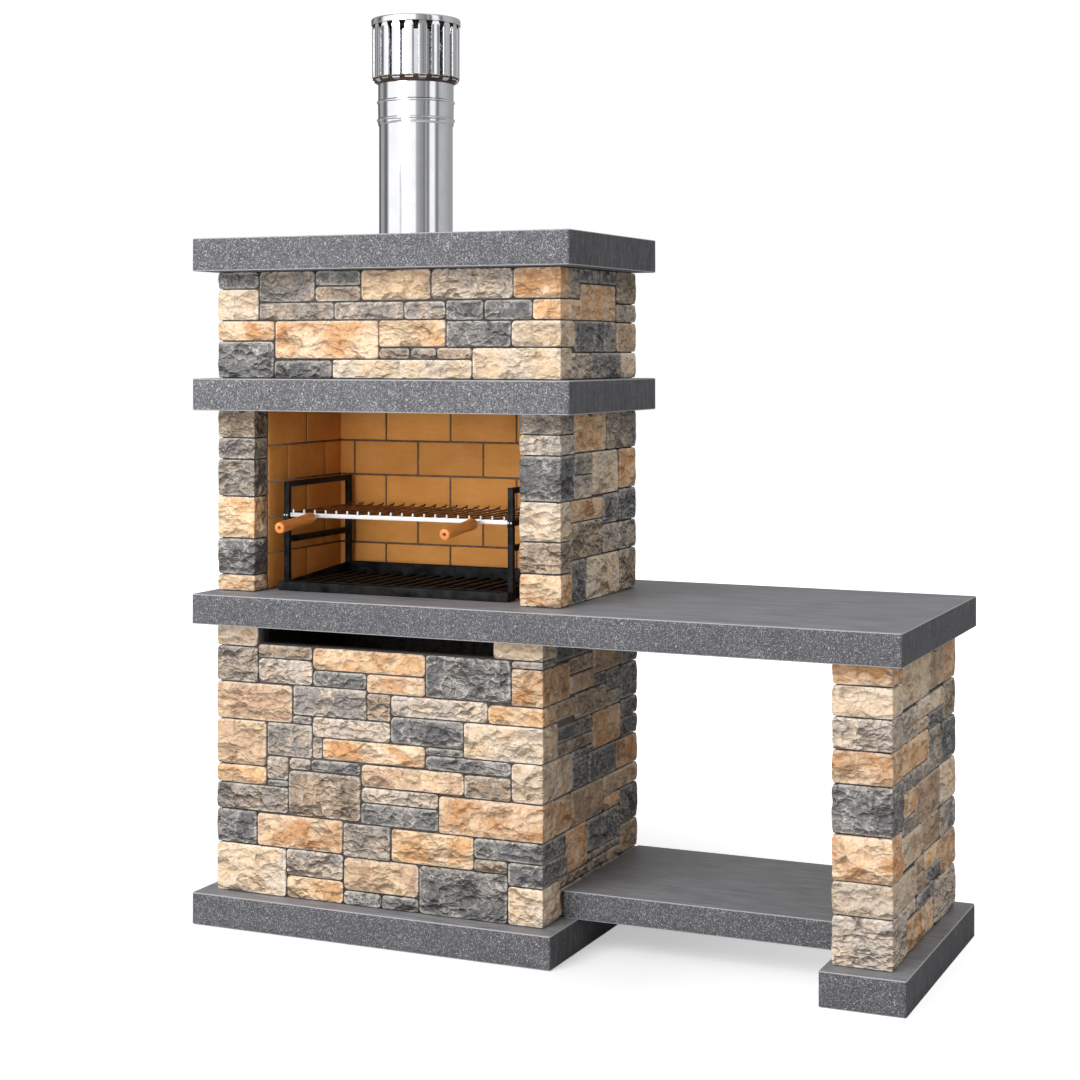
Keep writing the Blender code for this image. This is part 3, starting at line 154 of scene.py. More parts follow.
HOOD_CORNERS = [
    [
        (0, 100, 110, 174, DARK), (100, 155, 180, 176, ORANGE), (155, 240, 120, 126, CREAM),
        (240, 287, 170, 126, DARK),
    ],
    [
        (0, 83, 250, 79, CREAM), (83, 152, 140, 98, CREAM), (152, 206, 81, 142, OCHRE),
        (206, 287, 135, 66, ORANGE),
    ],
    [
        (0, 70, 106, 180, CREAM), (70, 150, 135, 110, TAN), (150, 200, 135, 200, MID),
        (200, 287, 131, 120, BROWN),
    ],
    [
        (0, 85, 170, 110, OCHRE), (85, 150, 110, 180, MID), (150, 235, 190, 110, LIGHT),
        (235, 287, 120, 160, DARK),
    ],
]
FIREBOX_DRAWN = (1011, 519, 488)
FIREBOX_LEFT_BLOCKS = [
    (0, 45, 150, OCHRE), (45, 142, 90, DARK), (142, 255, 170, OCHRE), (255, 355, 100, MID),
    (355, 413, 160, MID), (413, 488, 90, BROWN),
]
FIREBOX_RIGHT_BLOCKS = [
    (0, 84, 76, OCHRE), (84, 165, 76, BROWN), (165, 266, 76, CREAM), (266, 383, 100, DARK),
    (383, 435, 100, LIGHT), (435, 488, 90, MID),
]
FIREBOX_RIGHT = [
    (100, 316, 385, 488, OCHRE), (100, 218, 328, 385, MID), (100, 218, 266, 328, LIGHT),
    (218, 400, 270, 385, CREAM), (76, 294, 208, 266, ORANGE), (76, 294, 113, 208, BROWN),
    (76, 176, 0, 113, DARK), (176, 404, 0, 113, CREAM), (294, 400, 190, 270, DARK),
    (294, 400, 113, 190, MID),
]
FIREBOX_REAR_CORNERS = [
    [
        (0, 113, 115, 190, BROWN), (113, 190, 119, 110, MID), (190, 277, 119, 210, DARK),
        (277, 385, 115, 120, ORANGE), (385, 488, 203, 180, MID),
    ],
    [
        (0, 90, 200, 110, DARK), (90, 200, 120, 180, PINK), (200, 265, 210, 110, MID),
        (265, 375, 120, 170, OCHRE), (375, 488, 190, 120, BROWN),
    ],
]
PIER_DRAWN = (148, 650, 715)
PIER_FRONT_BLOCKS = [
    (0, 120, 148, LIGHT), (120, 200, 237, CREAM), (200, 310, 104, ORANGE),
    (310, 428, 118, DARK), (428, 508, 106, ORANGE), (508, 585, 252, LIGHT),
    (585, 660, 104, CREAM), (660, 715, 102, ORANGE),
]
PIER_REAR_BLOCKS = [
    (0, 112, 222, LIGHT), (112, 207, 155, ORANGE), (207, 287, 160, MID),
    (287, 392, 160, CREAM), (392, 500, 140, DARK), (500, 595, 120, BROWN),
    (595, 715, 112, ORANGE),
]
PIER_RIGHT = [
    (104, 373, 590, 715, CREAM), (373, 538, 597, 715, TAN), (252, 530, 542, 590, CREAM),
    (252, 371, 508, 542, CREAM), (371, 530, 500, 542, DARK), (371, 510, 392, 500, MID),
    (106, 371, 432, 508, OCHRE), (118, 371, 390, 432, MID), (118, 245, 327, 390, OCHRE),
    (245, 490, 287, 390, TAN), (118, 245, 287, 327, MID), (104, 300, 207, 287, CREAM),
    (300, 490, 207, 287, TAN), (237, 325, 170, 207, TAN), (237, 325, 120, 170, TAN),
    (325, 495, 158, 207, OCHRE), (325, 495, 120, 158, DARK), (243, 428, 80, 120, DARK),
    (148, 243, 84, 120, LIGHT), (148, 428, 0, 80, ORANGE),
]

# Sizes of the stones on the other faces, in cells of the face grid
CELL = 5
FILL_WIDTHS = (28, 36, 44, 52)
FILL_HEIGHTS = (14, 18, 22, 26)
FILL_LONGEST = 60
FILL_TALLEST = 30
FILL_SHORTEST = 16
FILL_THINNEST = 10
FILL_SLIVER = 4
LARGEST_RECESS = 0.004
# Seed of the noise that bends the flakes, which would otherwise start from the clock
FLAKE_SEED = 7


def linear(red, green, blue):
    """A colour in steps of 0 to 255, as the shader's linear values."""
    shares = [step / 255 for step in (red, green, blue)]
    return tuple(s / 12.92 if s < 0.04045 else ((s + 0.055) / 1.055) ** 2.4 for s in shares)


# Sizes and colours that a user may change


def length(name, description, default, precision=4):
    return FloatProperty(
        name=name, description=description, default=default, min=0.0, unit="LENGTH",
        precision=precision,
    )


def colour(name, description, default):
    return FloatVectorProperty(
        name=name, description=description, default=linear(*default), subtype="COLOR",
        size=3, min=0.0, max=1.0,
    )


def share(name, description, default):
    return FloatProperty(
        name=name, description=description, default=default, min=0.0, max=1.0,
        subtype="FACTOR",
    )


class StoneSettings(bpy.types.PropertyGroup):
    """Cut and colours of the wall stones."""

    joint: length("Joint", "Width of the joint between two stones", 0.0018)
    grid: length("Grid", "Distance between the points of a stone's face", 0.0050)
    edge: length("Edge", "Radius of a stone's worn edge", 0.0028)
    corner: length("Corner", "Radius of a stone's outline at its corners", 0.011)
    bulge: length("Bulge", "How far the middle of a stone stands before its edges", 0.0030)
    relief: length("Relief", "Depth of the flakes on a split face", 0.0036)
    flake: length("Flake", "Usual width of a flake", 0.042)
    mortar_depth: length("Mortar depth", "How deep the mortar lies behind the faces", 0.010)
    cream: colour("Cream", "Cream limestone", (213, 196, 176))
    ochre: colour("Ochre", "Ochre limestone", (220, 172, 124))
    orange: colour("Orange", "Rust-coloured sandstone", (197, 147, 102))
    pink: colour("Pink", "Pinkish sandstone", (200, 166, 139))
    tan: colour("Tan", "Tan sandstone", (196, 166, 138))
    light: colour("Light grey", "Light grey stone", (181, 168, 157))
    mid: colour("Mid grey", "Mid grey stone", (140, 133, 128))
    dark: colour("Dark grey", "Blue-grey slate", (104, 103, 104))
    brown: colour("Brown grey", "Brown-grey stone", (140, 125, 110))
    mortar: colour("Mortar", "Mortar in the joints", (74, 62, 52))


class SlabSettings(bpy.types.PropertyGroup):
    """The cast slabs."""

    edge: length("Edge", "Radius of the eased edges", 0.003)
    corner: length("Corner", "Radius of the upright corners", 0.006)
    ground: colour("Ground", "Main colour of the slabs", (94, 94, 98))
    fleck: colour("Fleck", "Pale grains in the slabs", (198, 197, 200))
    grit: colour("Grit", "Dark grains in the slabs", (60, 60, 64))
    top: colour("Top", "Colour of the trowelled tops", (130, 130, 135))


class BrickSettings(bpy.types.PropertyGroup):
    """The firebrick lining."""

    brick: length("Brick", "Length of a brick with its joint", 0.205)
    courses: IntProperty(name="Courses", description="Courses of brick", default=5, min=1)
    joint: length("Joint", "Width of the joints", 0.005)
    edge: length("Edge", "Radius of a brick's edge", 0.0015)
    clay: colour("Clay", "Fired clay", (238, 166, 84))
    smoked: colour("Smoked clay", "Clay browned by smoke", (206, 126, 54))
    grout: colour("Grout", "Grout between the bricks", (128, 104, 80))


class FlueSettings(bpy.types.PropertyGroup):
    """The flue pipe and its slatted cowl."""

    steps: IntProperty(name="Steps", description="Facets round the pipe", default=96, min=12)
    slats: IntProperty(name="Slats", description="Slats in each ring", default=20, min=3)
    sheet: length("Sheet", "Thickness of the cowl's sheet", 0.0014)
    polish: share("Polish", "Roughness of the polished steel", 0.09)
    steel: colour("Steel", "Polished stainless steel", (222, 223, 226))
    scorched: colour("Scorched", "Steel browned by heat inside the cowl", (96, 74, 62))


class IronSettings(bpy.types.PropertyGroup):
    """The black carrier, tray and coal grate, and the cooking grill."""

    edge: length("Edge", "Radius of the tubes' edges", 0.0015)
    paint: colour("Paint", "Black heat-proof paint", (12, 12, 14))
    coal_bar: colour("Coal bars", "Bars of the coal grate", (22, 20, 20))
    rod: colour("Rods", "Heat-browned grill rods", (142, 106, 80))
    bright: colour("Bright", "Bright steel of the grill's front bar", (228, 230, 233))


class GripSettings(bpy.types.PropertyGroup):
    """The turned wooden grips."""

    steps: IntProperty(name="Steps", description="Facets round a grip", default=40, min=8)
    wood: colour("Wood", "Oiled wood", (232, 150, 72))
    grain: colour("Grain", "Darker grain", (198, 112, 48))


class StageSettings(bpy.types.PropertyGroup):
    """Floor, light and camera."""

    focal: FloatProperty(
        name="Focal length", description="Camera's focal length", default=68.79, min=1.0,
        subtype="DISTANCE_CAMERA",
    )
    turn: FloatProperty(
        name="Turn", description="Turn of the camera about the upright axis",
        default=math.radians(23.94), subtype="ANGLE",
    )
    shift: FloatProperty(
        name="Shift", description="Downward shift of the picture", default=-0.1753
    )
    place: FloatVectorProperty(
        name="Camera", description="Place of the camera", default=(3.033, -4.699, 1.5275),
        subtype="TRANSLATION", unit="LENGTH",
    )
    key: FloatProperty(
        name="Key lamp", description="Power of the high front lamp", default=180.0, min=0.0,
        unit="POWER",
    )
    fill: FloatProperty(
        name="Fill lamp", description="Power of the low front lamp", default=105.0, min=0.0,
        unit="POWER",
    )
    sky: share("Sky", "Strength of the light from all round", 0.58)
    glow: share("Floor glow", "How far the floor is whitened for the camera", 0.45)
    ground: colour("Floor", "Colour of the floor", (228, 228, 228))


class BarbecueSettings(bpy.types.PropertyGroup):
    """Everything a user may change."""

    stone: PointerProperty(type=StoneSettings, name="Stone", description="Wall stones")
    slab: PointerProperty(type=SlabSettings, name="Slabs", description="Cast slabs")
    brick: PointerProperty(type=BrickSettings, name="Brick", description="Firebrick lining")
    flue: PointerProperty(type=FlueSettings, name="Flue", description="Flue and cowl")
    iron: PointerProperty(type=IronSettings, name="Iron", description="Carrier and grates")
    grip: PointerProperty(type=GripSettings, name="Grips", description="Wooden grips")
    stage: PointerProperty(type=StageSettings, name="Stage", description="Floor and light")


def settings():
    return bpy.context.scene.barbecue


# Node trees


class Tree:
    """Adds nodes to a tree and joins their sockets."""

    def __init__(self, tree):
        self.tree = tree

    def give(self, node, inputs):
        """Joins sockets to a node's inputs, or sets plain values on them."""
        for name, value in inputs.items():
            if isinstance(value, bpy.types.NodeSocket):
                self.tree.links.new(value, node.inputs[name])
            else:
                node.inputs[name].default_value = value

    def node(self, kind, inputs=None, **values):
        made = self.tree.nodes.new(kind)
        for name, value in values.items():
            setattr(made, name, value)
        self.give(made, inputs or {})
        return made

    def add(self, kind, inputs=None, out=0, **values):
        """One output of a new node."""
        return self.node(kind, inputs, **values).outputs[out]

    def place(self):
        return self.add("ShaderNodeTexCoord", out="Object")

    def mesh_value(self, name):
        return self.add("ShaderNodeAttribute", out="Fac", attribute_name=name)

    def math(self, operation, first, second=0.0):
        return self.add("ShaderNodeMath", {0: first, 1: second}, operation=operation)

    def times(self, first, second):
        return self.math("MULTIPLY", first, second)

    def plus(self, total, *others):
        for other in others:
            total = self.math("ADD", total, other)
        return total

    def vector(self, operation, first, second, out=0):
        return self.add("ShaderNodeVectorMath", {0: first, 1: second}, out, operation=operation)

    def axis(self, vector, index):
        """One of a vector's three values."""
        return self.add("ShaderNodeSeparateXYZ", {0: vector}, index)

    def span(self, value, low, high, to_low=0.0, to_high=1.0):
        """Moves a value from one range to another, held at both ends."""
        values = {0: value, 1: low, 2: high, 3: to_low, 4: to_high}
        return self.add("ShaderNodeMapRange", values)

    def mix(self, factor, first, second, blend="MIX"):
        """Mixes two colours."""
        inputs = {0: factor, 6: first, 7: second}
        return self.add("ShaderNodeMix", inputs, 2, data_type="RGBA", blend_type=blend)

    def shade(self, body, light):
        """A colour made lighter or darker by a value."""
        grey = self.add("ShaderNodeCombineColor", {0: light, 1: light, 2: light})
        return self.mix(1.0, body, grey, "MULTIPLY")

    def noise(self, where, scale, detail=3.0, roughness=0.55, distortion=0.0, out=0):
        inputs = {
            "Vector": where, "Scale": scale, "Detail": detail, "Roughness": roughness,
            "Distortion": distortion,
        }
        return self.add("ShaderNodeTexNoise", inputs, out)

    def stretch(self, where, factors):
        return self.add("ShaderNodeMapping", {"Vector": where, "Scale": factors})

    def bump(self, height, distance, strength=1.0):
        inputs = {"Height": height, "Distance": distance, "Strength": strength}
        return self.add("ShaderNodeBump", inputs)


def opaque(colour_value):
    return (*colour_value, 1.0)


def toned(base, target, amount):
    """A colour moved part of the way to another one."""
    return tuple(b + (t - b) * amount for b, t in zip(base, target))


def darkened(base, amount):
    return opaque(toned(base, (0, 0, 0), amount))


def paled(base, amount):
    return opaque(toned(base, (1, 1, 1), amount))


def new_group(name, inputs, outputs):
    """A shader group. Inputs and outputs are names by the kind of their sockets."""
    group = bpy.data.node_groups.new(name, "ShaderNodeTree")
    for direction, kinds in (("INPUT", inputs), ("OUTPUT", outputs)):
        for kind, labels in kinds.items():
            for label in labels:
                group.interface.new_socket(
                    name=label, in_out=direction, socket_type=f"NodeSocket{kind}"
                )
    given = group.nodes.new("NodeGroupInput").outputs
    return group, Tree(group), given, group.nodes.new("NodeGroupOutput")


def new_material(name, values):
    """A material with its surface shader. Plain values go on the shader's own sockets."""
    material = bpy.data.materials.new(name)
    material.use_nodes = True
    material.node_tree.nodes.clear()
    tree = Tree(material.node_tree)
    shader = tree.node("ShaderNodeBsdfPrincipled", values)
    tree.node("ShaderNodeOutputMaterial", {"Surface": shader.outputs[0]})
    return material, tree, shader


# Finishes

FLAKES_PER_METRE = 15.0
CHIPS_PER_METRE = 42.0
HALF = (0.5, 0.5, 0.5)
GREYS = (LIGHT, MID, DARK, BROWN)
# Pale colour of the painted highlights on the crests and rims of the stones
PALE_RIDGE_HIGHLIGHT = linear(246, 238, 226)
# Colours of the painted shade in the hollows of a split face, warm for the sandstones and cold for
# the grey stones
WARM_HOLLOW_SHADE, COLD_HOLLOW_SHADE = linear(140, 88, 48), linear(56, 52, 52)

# Second colour of each tone, which drifts over a stone in patches
PATCHES = {
    CREAM: linear(214, 186, 152), OCHRE: linear(230, 202, 168), ORANGE: linear(224, 194, 162),
    PINK: linear(226, 196, 158), TAN: linear(150, 128, 104), LIGHT: linear(208, 184, 158),
    MID: linear(178, 158, 138), DARK: linear(132, 128, 126), BROWN: linear(178, 150, 122),
}


def dished_cells(tree, where, scale):
    """Bowls with sharp borders, as flakes leave: depth squared, cell colour and cell middle."""
    cells = tree.node("ShaderNodeTexVoronoi", {"Vector": where, "Scale": scale}).outputs
    return tree.times(cells["Distance"], cells["Distance"]), cells["Color"], cells["Position"]


def split_stone_group():
    """Dished flakes with sharp curved crests, mottling and grain of a split stone, with painted
    highlight and shade.
    """
    group, tree, given, end = new_group(
        "Split stone",
        {
            "Color": ("Face", "Patch", "HollowShade", "RidgeHighlight"),
            "Float": ("Ridging", "Tint", "Relief", "Rim"),
        },
        {"Color": ("Colour",), "Float": ("Roughness", "Height")},
    )
    ridging = given["Ridging"]
    moved = tree.vector("ADD", tree.place(), tree.times(given["Tint"], 37.0))
    level = tree.vector("MULTIPLY", moved, (1.0, 1.0, 1.45))
    bend = tree.vector("SUBTRACT", tree.noise(level, 26.0, 3.0, 0.55, out=1), HALF)
    bend = tree.add("ShaderNodeVectorMath", {0: bend, "Scale": 0.040}, operation="SCALE")
    bent = tree.vector("ADD", level, bend)
    large, cell, middle = dished_cells(tree, bent, FLAKES_PER_METRE)
    small = dished_cells(tree, bent, CHIPS_PER_METRE)[0]
    border = tree.add(
        "ShaderNodeTexVoronoi", {"Vector": bent, "Scale": CHIPS_PER_METRE},
        feature="DISTANCE_TO_EDGE",
    )
    tilt = tree.vector("SUBTRACT", cell, HALF)
    slope = tree.vector("DOT_PRODUCT", tree.vector("SUBTRACT", bent, middle), tilt, 1)
    broad = tree.noise(moved, 13.0, 3.0, 0.55, 0.4)
    fine = tree.noise(moved, 120.0, 5.0, 0.7)
    grain = tree.noise(moved, 520.0, 2.0, 0.6)
    lumps = tree.times(small, tree.span(ridging, 0.0, 1.0, 0.25, 1.0))
    crests = tree.plus(tree.times(large, 1.1), lumps, tree.times(fine, 0.35))
    body = tree.mix(tree.span(broad, 0.40, 0.62), given["Face"], given["Patch"])
    body = tree.shade(body, tree.span(fine, 0.28, 0.72, 0.80, 1.20))
    body = tree.shade(body, tree.span(grain, 0.30, 0.70, 0.88, 1.12))
    # Painted shade in the low middles of the flakes
    low = tree.times(tree.span(crests, 0.22, 0.42, 0.5, 0.0), ridging)
    body = tree.mix(low, body, given["HollowShade"])
    # Painted highlight on the thin crests between the small flakes
    crest = tree.times(tree.span(border, 0.0, 0.10, 1.0, 0.0), ridging)
    crest = tree.times(crest, tree.span(crests, 0.30, 0.60))
    crest = tree.times(crest, tree.span(broad, 0.42, 0.58, 0.25, 1.0))
    body = tree.mix(crest, body, given["RidgeHighlight"])
    # Painted shade in the hollows of the stone's mesh and on its skirts into the joints
    body = tree.mix(tree.span(given["Relief"], -0.9, -0.1, 0.4, 0.0), body, given["HollowShade"])
    # Painted highlight along each stone's rounded rim
    body = tree.mix(tree.times(given["Rim"], 0.65), body, given["RidgeHighlight"])
    body = tree.shade(body, tree.span(given["Tint"], 0.0, 1.0, 0.88, 1.12))
    height = tree.plus(
        tree.times(large, 0.042), tree.times(lumps, 0.026), tree.times(slope, 1.3),
        tree.times(fine, 0.0005), tree.times(grain, 0.00012),
    )
    rough = tree.span(fine, 0.3, 0.7, 0.74, 0.94)
    tree.give(end, {"Colour": body, "Roughness": rough, "Height": height})
    return group


def stone_materials():
    """One material for each tone of stone, and one for the mortar."""
    s = settings().stone
    group = split_stone_group()
    found = {}
    for tone in TONES:
        base = tuple(getattr(s, tone))
        grey = tone in GREYS
        # Colour of the painted shade in the hollows
        hollow_shade = toned(base, COLD_HOLLOW_SHADE if grey else WARM_HOLLOW_SHADE, 0.7)
        material, tree, shader = new_material(f"{tone} split stone", {"Specular IOR Level": 0.3})
        inputs = {
            "Face": opaque(base), "Patch": opaque(PATCHES[tone]), "HollowShade": opaque(hollow_shade),
            "RidgeHighlight": opaque(toned(base, PALE_RIDGE_HIGHLIGHT, 0.55)), "Ridging": 0.85 if grey else 0.40,
            "Tint": tree.mesh_value("tint"), "Relief": tree.mesh_value("ridge"),
            "Rim": tree.mesh_value("rim"),
        }
        made = tree.node("ShaderNodeGroup", inputs, node_tree=group).outputs
        normal = tree.bump(made["Height"], 0.65 if grey else 0.50)
        # Painted light from above: where the bumped surface turns up the colour is lightened, and
        # where it turns down it is darkened. The value worn holds this painted light.
        below, above = (0.70, 1.36) if grey else (0.74, 1.26)
        worn = tree.span(tree.axis(normal, 2), -0.5, 0.5, below, above)
        body = tree.shade(made["Colour"], worn)
        tree.give(shader, {"Base Color": body, "Roughness": made["Roughness"], "Normal": normal})
        found[tone] = material
    found["mortar"] = gritty_material("joint mortar", s.mortar, 0.95)
    return found


def gritty_material(name, base, roughness):
    material, tree, shader = new_material(name, {"Roughness": roughness})
    where = tree.place()
    spread = tree.span(tree.noise(where, 60.0, 4.0, 0.65), 0.3, 0.7)
    body = tree.mix(spread, darkened(base, 0.4), paled(base, 0.06))
    sand = tree.noise(where, 420.0, 2.0)
    tree.give(shader, {"Base Color": body, "Normal": tree.bump(sand, 0.001, 0.8)})
    return material


def slab_material():
    """Grains and short pale threads on the sides, and a smoother trowelled top."""
    s = settings().slab
    material, tree, shader = new_material("cast slab", {"Specular IOR Level": 0.4})
    where = tree.place()
    normal = tree.add("ShaderNodeNewGeometry", out="Normal")
    top = tree.span(tree.axis(normal, 2), 0.5, 0.95)
    # Ends that face sideways, which get painted shade below
    end = tree.span(tree.math("ABSOLUTE", tree.axis(normal, 0)), 0.6, 0.95)
    clouds = tree.noise(where, 11.0, 4.0, 0.6)
    mottle = tree.noise(where, 140.0, 5.0, 0.72)
    curls = tree.noise(where, 70.0, 2.0, 0.6, 1.8)
    pits = tree.noise(where, 300.0, 3.0, 0.65)
    streaks = tree.noise(tree.stretch(where, (0.10, 1.0, 1.0)), 70.0, 6.0, 0.75)
    drips = tree.noise(tree.stretch(where, (1.0, 1.0, 0.12)), 120.0, 4.0, 0.65)
    side = tree.mix(tree.span(mottle, 0.34, 0.66), opaque(s.grit), opaque(s.ground))
    thread = tree.math("ABSOLUTE", tree.math("SUBTRACT", curls, 0.5))
    thread = tree.span(thread, 0.0, 0.026, 1.0, 0.0)
    thread = tree.times(thread, tree.span(pits, 0.44, 0.54))
    fleck = tree.math("MAXIMUM", thread, tree.span(pits, 0.60, 0.70, 0.0, 0.5))
    side = tree.mix(fleck, side, opaque(s.fleck))
    side = tree.mix(tree.span(pits, 0.32, 0.42, 0.8, 0.0), side, opaque(s.grit))
    # Painted shade on the ends that face sideways, mixed with their own drip streaks
    end_streaks_and_shade = tree.mix(
        tree.span(drips, 0.35, 0.65), darkened(s.grit, 0.32), darkened(s.ground, 0.1)
    )
    side = tree.mix(tree.times(end, 0.7), side, end_streaks_and_shade)
    flat = tree.mix(tree.span(streaks, 0.34, 0.66), darkened(s.top, 0.28), paled(s.top, 0.12))
    flat = tree.mix(tree.span(pits, 0.60, 0.72, 0.0, 0.3), flat, opaque(s.fleck))
    body = tree.mix(top, side, flat)
    body = tree.shade(body, tree.span(clouds, 0.3, 0.7, 0.92, 1.08))
    body = tree.shade(body, tree.span(tree.mesh_value("tint"), 0.0, 1.0, 0.85, 1.35))
    # Painted highlight along the slabs' eased edges
    body = tree.mix(tree.times(tree.mesh_value("rim"), 0.75), body, opaque(s.fleck))
    smooth = tree.span(streaks, 0.3, 0.7, 0.40, 0.55)
    coarse = tree.span(pits, 0.3, 0.7, 0.62, 0.85)
    rough = tree.add("ShaderNodeMix", {0: top, 2: coarse, 3: smooth}, data_type="FLOAT")
    height = tree.times(pits, tree.span(top, 0.0, 1.0, 1.0, 0.12))
    normal = tree.bump(height, 0.0014, 0.8)
    tree.give(shader, {"Base Color": body, "Roughness": rough, "Normal": normal})
    return material


def clay_materials():
    """Fired clay bricks, darker by the coals and below the mantel from smoke and painted shade, and
    their grout.
    """
    s = settings().brick
    material, tree, shader = new_material("fired clay", {"Specular IOR Level": 0.3})
    where = tree.place()
    tint = tree.mesh_value("tint")
    moved = tree.vector("ADD", where, tree.times(tint, 23.0))
    cloud = tree.noise(moved, 9.0, 4.0, 0.6)
    drag = tree.noise(tree.stretch(moved, (1.0, 1.0, 6.0)), 22.0, 4.0, 0.6)
    clay = tree.mix(tree.span(cloud, 0.35, 0.68, 0.0, 0.38), opaque(s.clay), opaque(s.smoked))
    clay = tree.mix(tree.span(drag, 0.45, 0.75, 0.0, 0.25), clay, opaque(s.smoked))
    clay = tree.shade(clay, tree.span(tint, 0.0, 1.0, 0.90, 1.08))
    height = tree.axis(where, 2)
    # Darker towards the bottom: painted shade of the tray, with some soot
    clay = tree.shade(clay, tree.span(height, 0.90, 1.06, 0.86, 1.0))
    # Darker towards the top: painted shade under the mantel, with some smoke
    clay = tree.shade(clay, tree.span(height, 1.30, 1.46, 1.0, 0.72))
    rough = tree.span(cloud, 0.3, 0.7, 0.55, 0.78)
    normal = tree.bump(tree.noise(moved, 380.0, 2.0), 0.0006, 0.6)
    tree.give(shader, {"Base Color": clay, "Roughness": rough, "Normal": normal})
    return {"clay": material, "grout": gritty_material("brick grout", s.grout, 0.9)}


def brushed_group():
    """Fine lines, smudges and a little unevenness of worked metal."""
    group, tree, given, end = new_group(
        "Worked metal", {"Vector": ("Stretch",), "Float": ("Low", "High")},
        {"Float": ("Roughness", "Height", "Smudge")},
    )
    where = tree.place()
    lines = tree.noise(tree.vector("MULTIPLY", where, given["Stretch"]), 300.0, 3.0, 0.6)
    smudge = tree.noise(where, 28.0, 3.0, 0.6)
    mixed = tree.plus(tree.times(lines, 0.4), tree.times(smudge, 0.6))
    rough = tree.span(mixed, 0.3, 0.7, given["Low"], given["High"])
    tree.give(end, {"Roughness": rough, "Height": lines, "Smudge": smudge})
    return group


def metal_materials():
    """The steels, the paint and the irons. Each drifts between a colour and a second shade."""
    flue, iron = settings().flue, settings().iron
    steel, brown, polish = flue.steel, flue.scorched, flue.polish
    group = brushed_group()
    up, level, fore, across = (0.4, 0.4, 0.02), (1.0, 1.0, 0.05), (1.0, 0.03, 1.0), (0.03, 1.0, 1.0)
    rust = toned(iron.coal_bar, (0.2, 0.12, 0.08), 0.06)
    # Name, colour, second shade, least and most roughness, metallic, lines, dents and shine
    rows = {
        "polished": (
            "polished flue steel", steel, darkened(steel, 0.06), polish * 0.6, polish * 1.5,
            1.0, up, 0.00005, 0.5,
        ),
        "scorched": (
            "scorched cowl steel", brown, darkened(brown, 0.5), 0.45, 0.7, 0.6, up, 0.0002, 0.5,
        ),
        "painted": (
            "black stove paint", iron.paint, paled(iron.paint, 0.02), 0.34, 0.50, 0.0, level,
            0.0002, 0.06,
        ),
        "bars": (
            "coal bar iron", iron.coal_bar, opaque(rust), 0.5, 0.75, 0.3, fore, 0.0002, 0.5,
        ),
        "rods": (
            "browned rod steel", iron.rod, darkened(iron.rod, 0.55), 0.28, 0.45, 0.8, fore,
            0.0002, 0.5,
        ),
        "bright": (
            "bright bar steel", iron.bright, darkened(iron.bright, 0.12), 0.28, 0.42, 0.35,
            across, 0.0002, 0.5,
        ),
    }
    found = {}
    for finish, (name, base, second, low, high, metallic, lines, dent, shine) in rows.items():
        values = {"Metallic": metallic, "Specular IOR Level": shine}
        material, tree, shader = new_material(name, values)
        inputs = {"Stretch": lines, "Low": low, "High": high}
        made = tree.node("ShaderNodeGroup", inputs, node_tree=group).outputs
        body = tree.mix(tree.span(made["Smudge"], 0.35, 0.65), opaque(base), second)
        normal = tree.bump(made["Height"], dent, 0.4)
        tree.give(shader, {"Base Color": body, "Roughness": made["Roughness"], "Normal": normal})
        found[finish] = material
    return found


def wood_material():
    s = settings().grip
    values = {"Coat Weight": 0.35, "Coat Roughness": 0.25}
    material, tree, shader = new_material("turned wood", values)
    where = tree.place()
    grain = tree.noise(tree.stretch(where, (1.0, 0.07, 1.0)), 130.0, 5.0, 0.6, 0.8)
    pores = tree.noise(tree.stretch(where, (1.0, 0.03, 1.0)), 620.0, 2.0)
    body = tree.mix(tree.span(grain, 0.36, 0.66), opaque(s.wood), opaque(s.grain))
    body = tree.mix(tree.span(pores, 0.58, 0.7, 0.0, 0.35), body, darkened(s.grain, 0.4))
    rough = tree.span(grain, 0.3, 0.7, 0.38, 0.55)
    normal = tree.bump(pores, 0.0002, 0.5)
    tree.give(shader, {"Base Color": body, "Roughness": rough, "Normal": normal})
    return material


FINISHES = {}


def finishes(*names):
    """Materials by the names of their finishes. All are made once and shared."""
    if not FINISHES:
        FINISHES.update(stone_materials())
        FINISHES["slab"] = slab_material()
        FINISHES.update(clay_materials())
        FINISHES.update(metal_materials())
        FINISHES["wood"] = wood_material()
    return {name: FINISHES[name] for name in names}


# Mesh making

# Radius at which a turned piece's flat end closes
AXIS = 0.0001


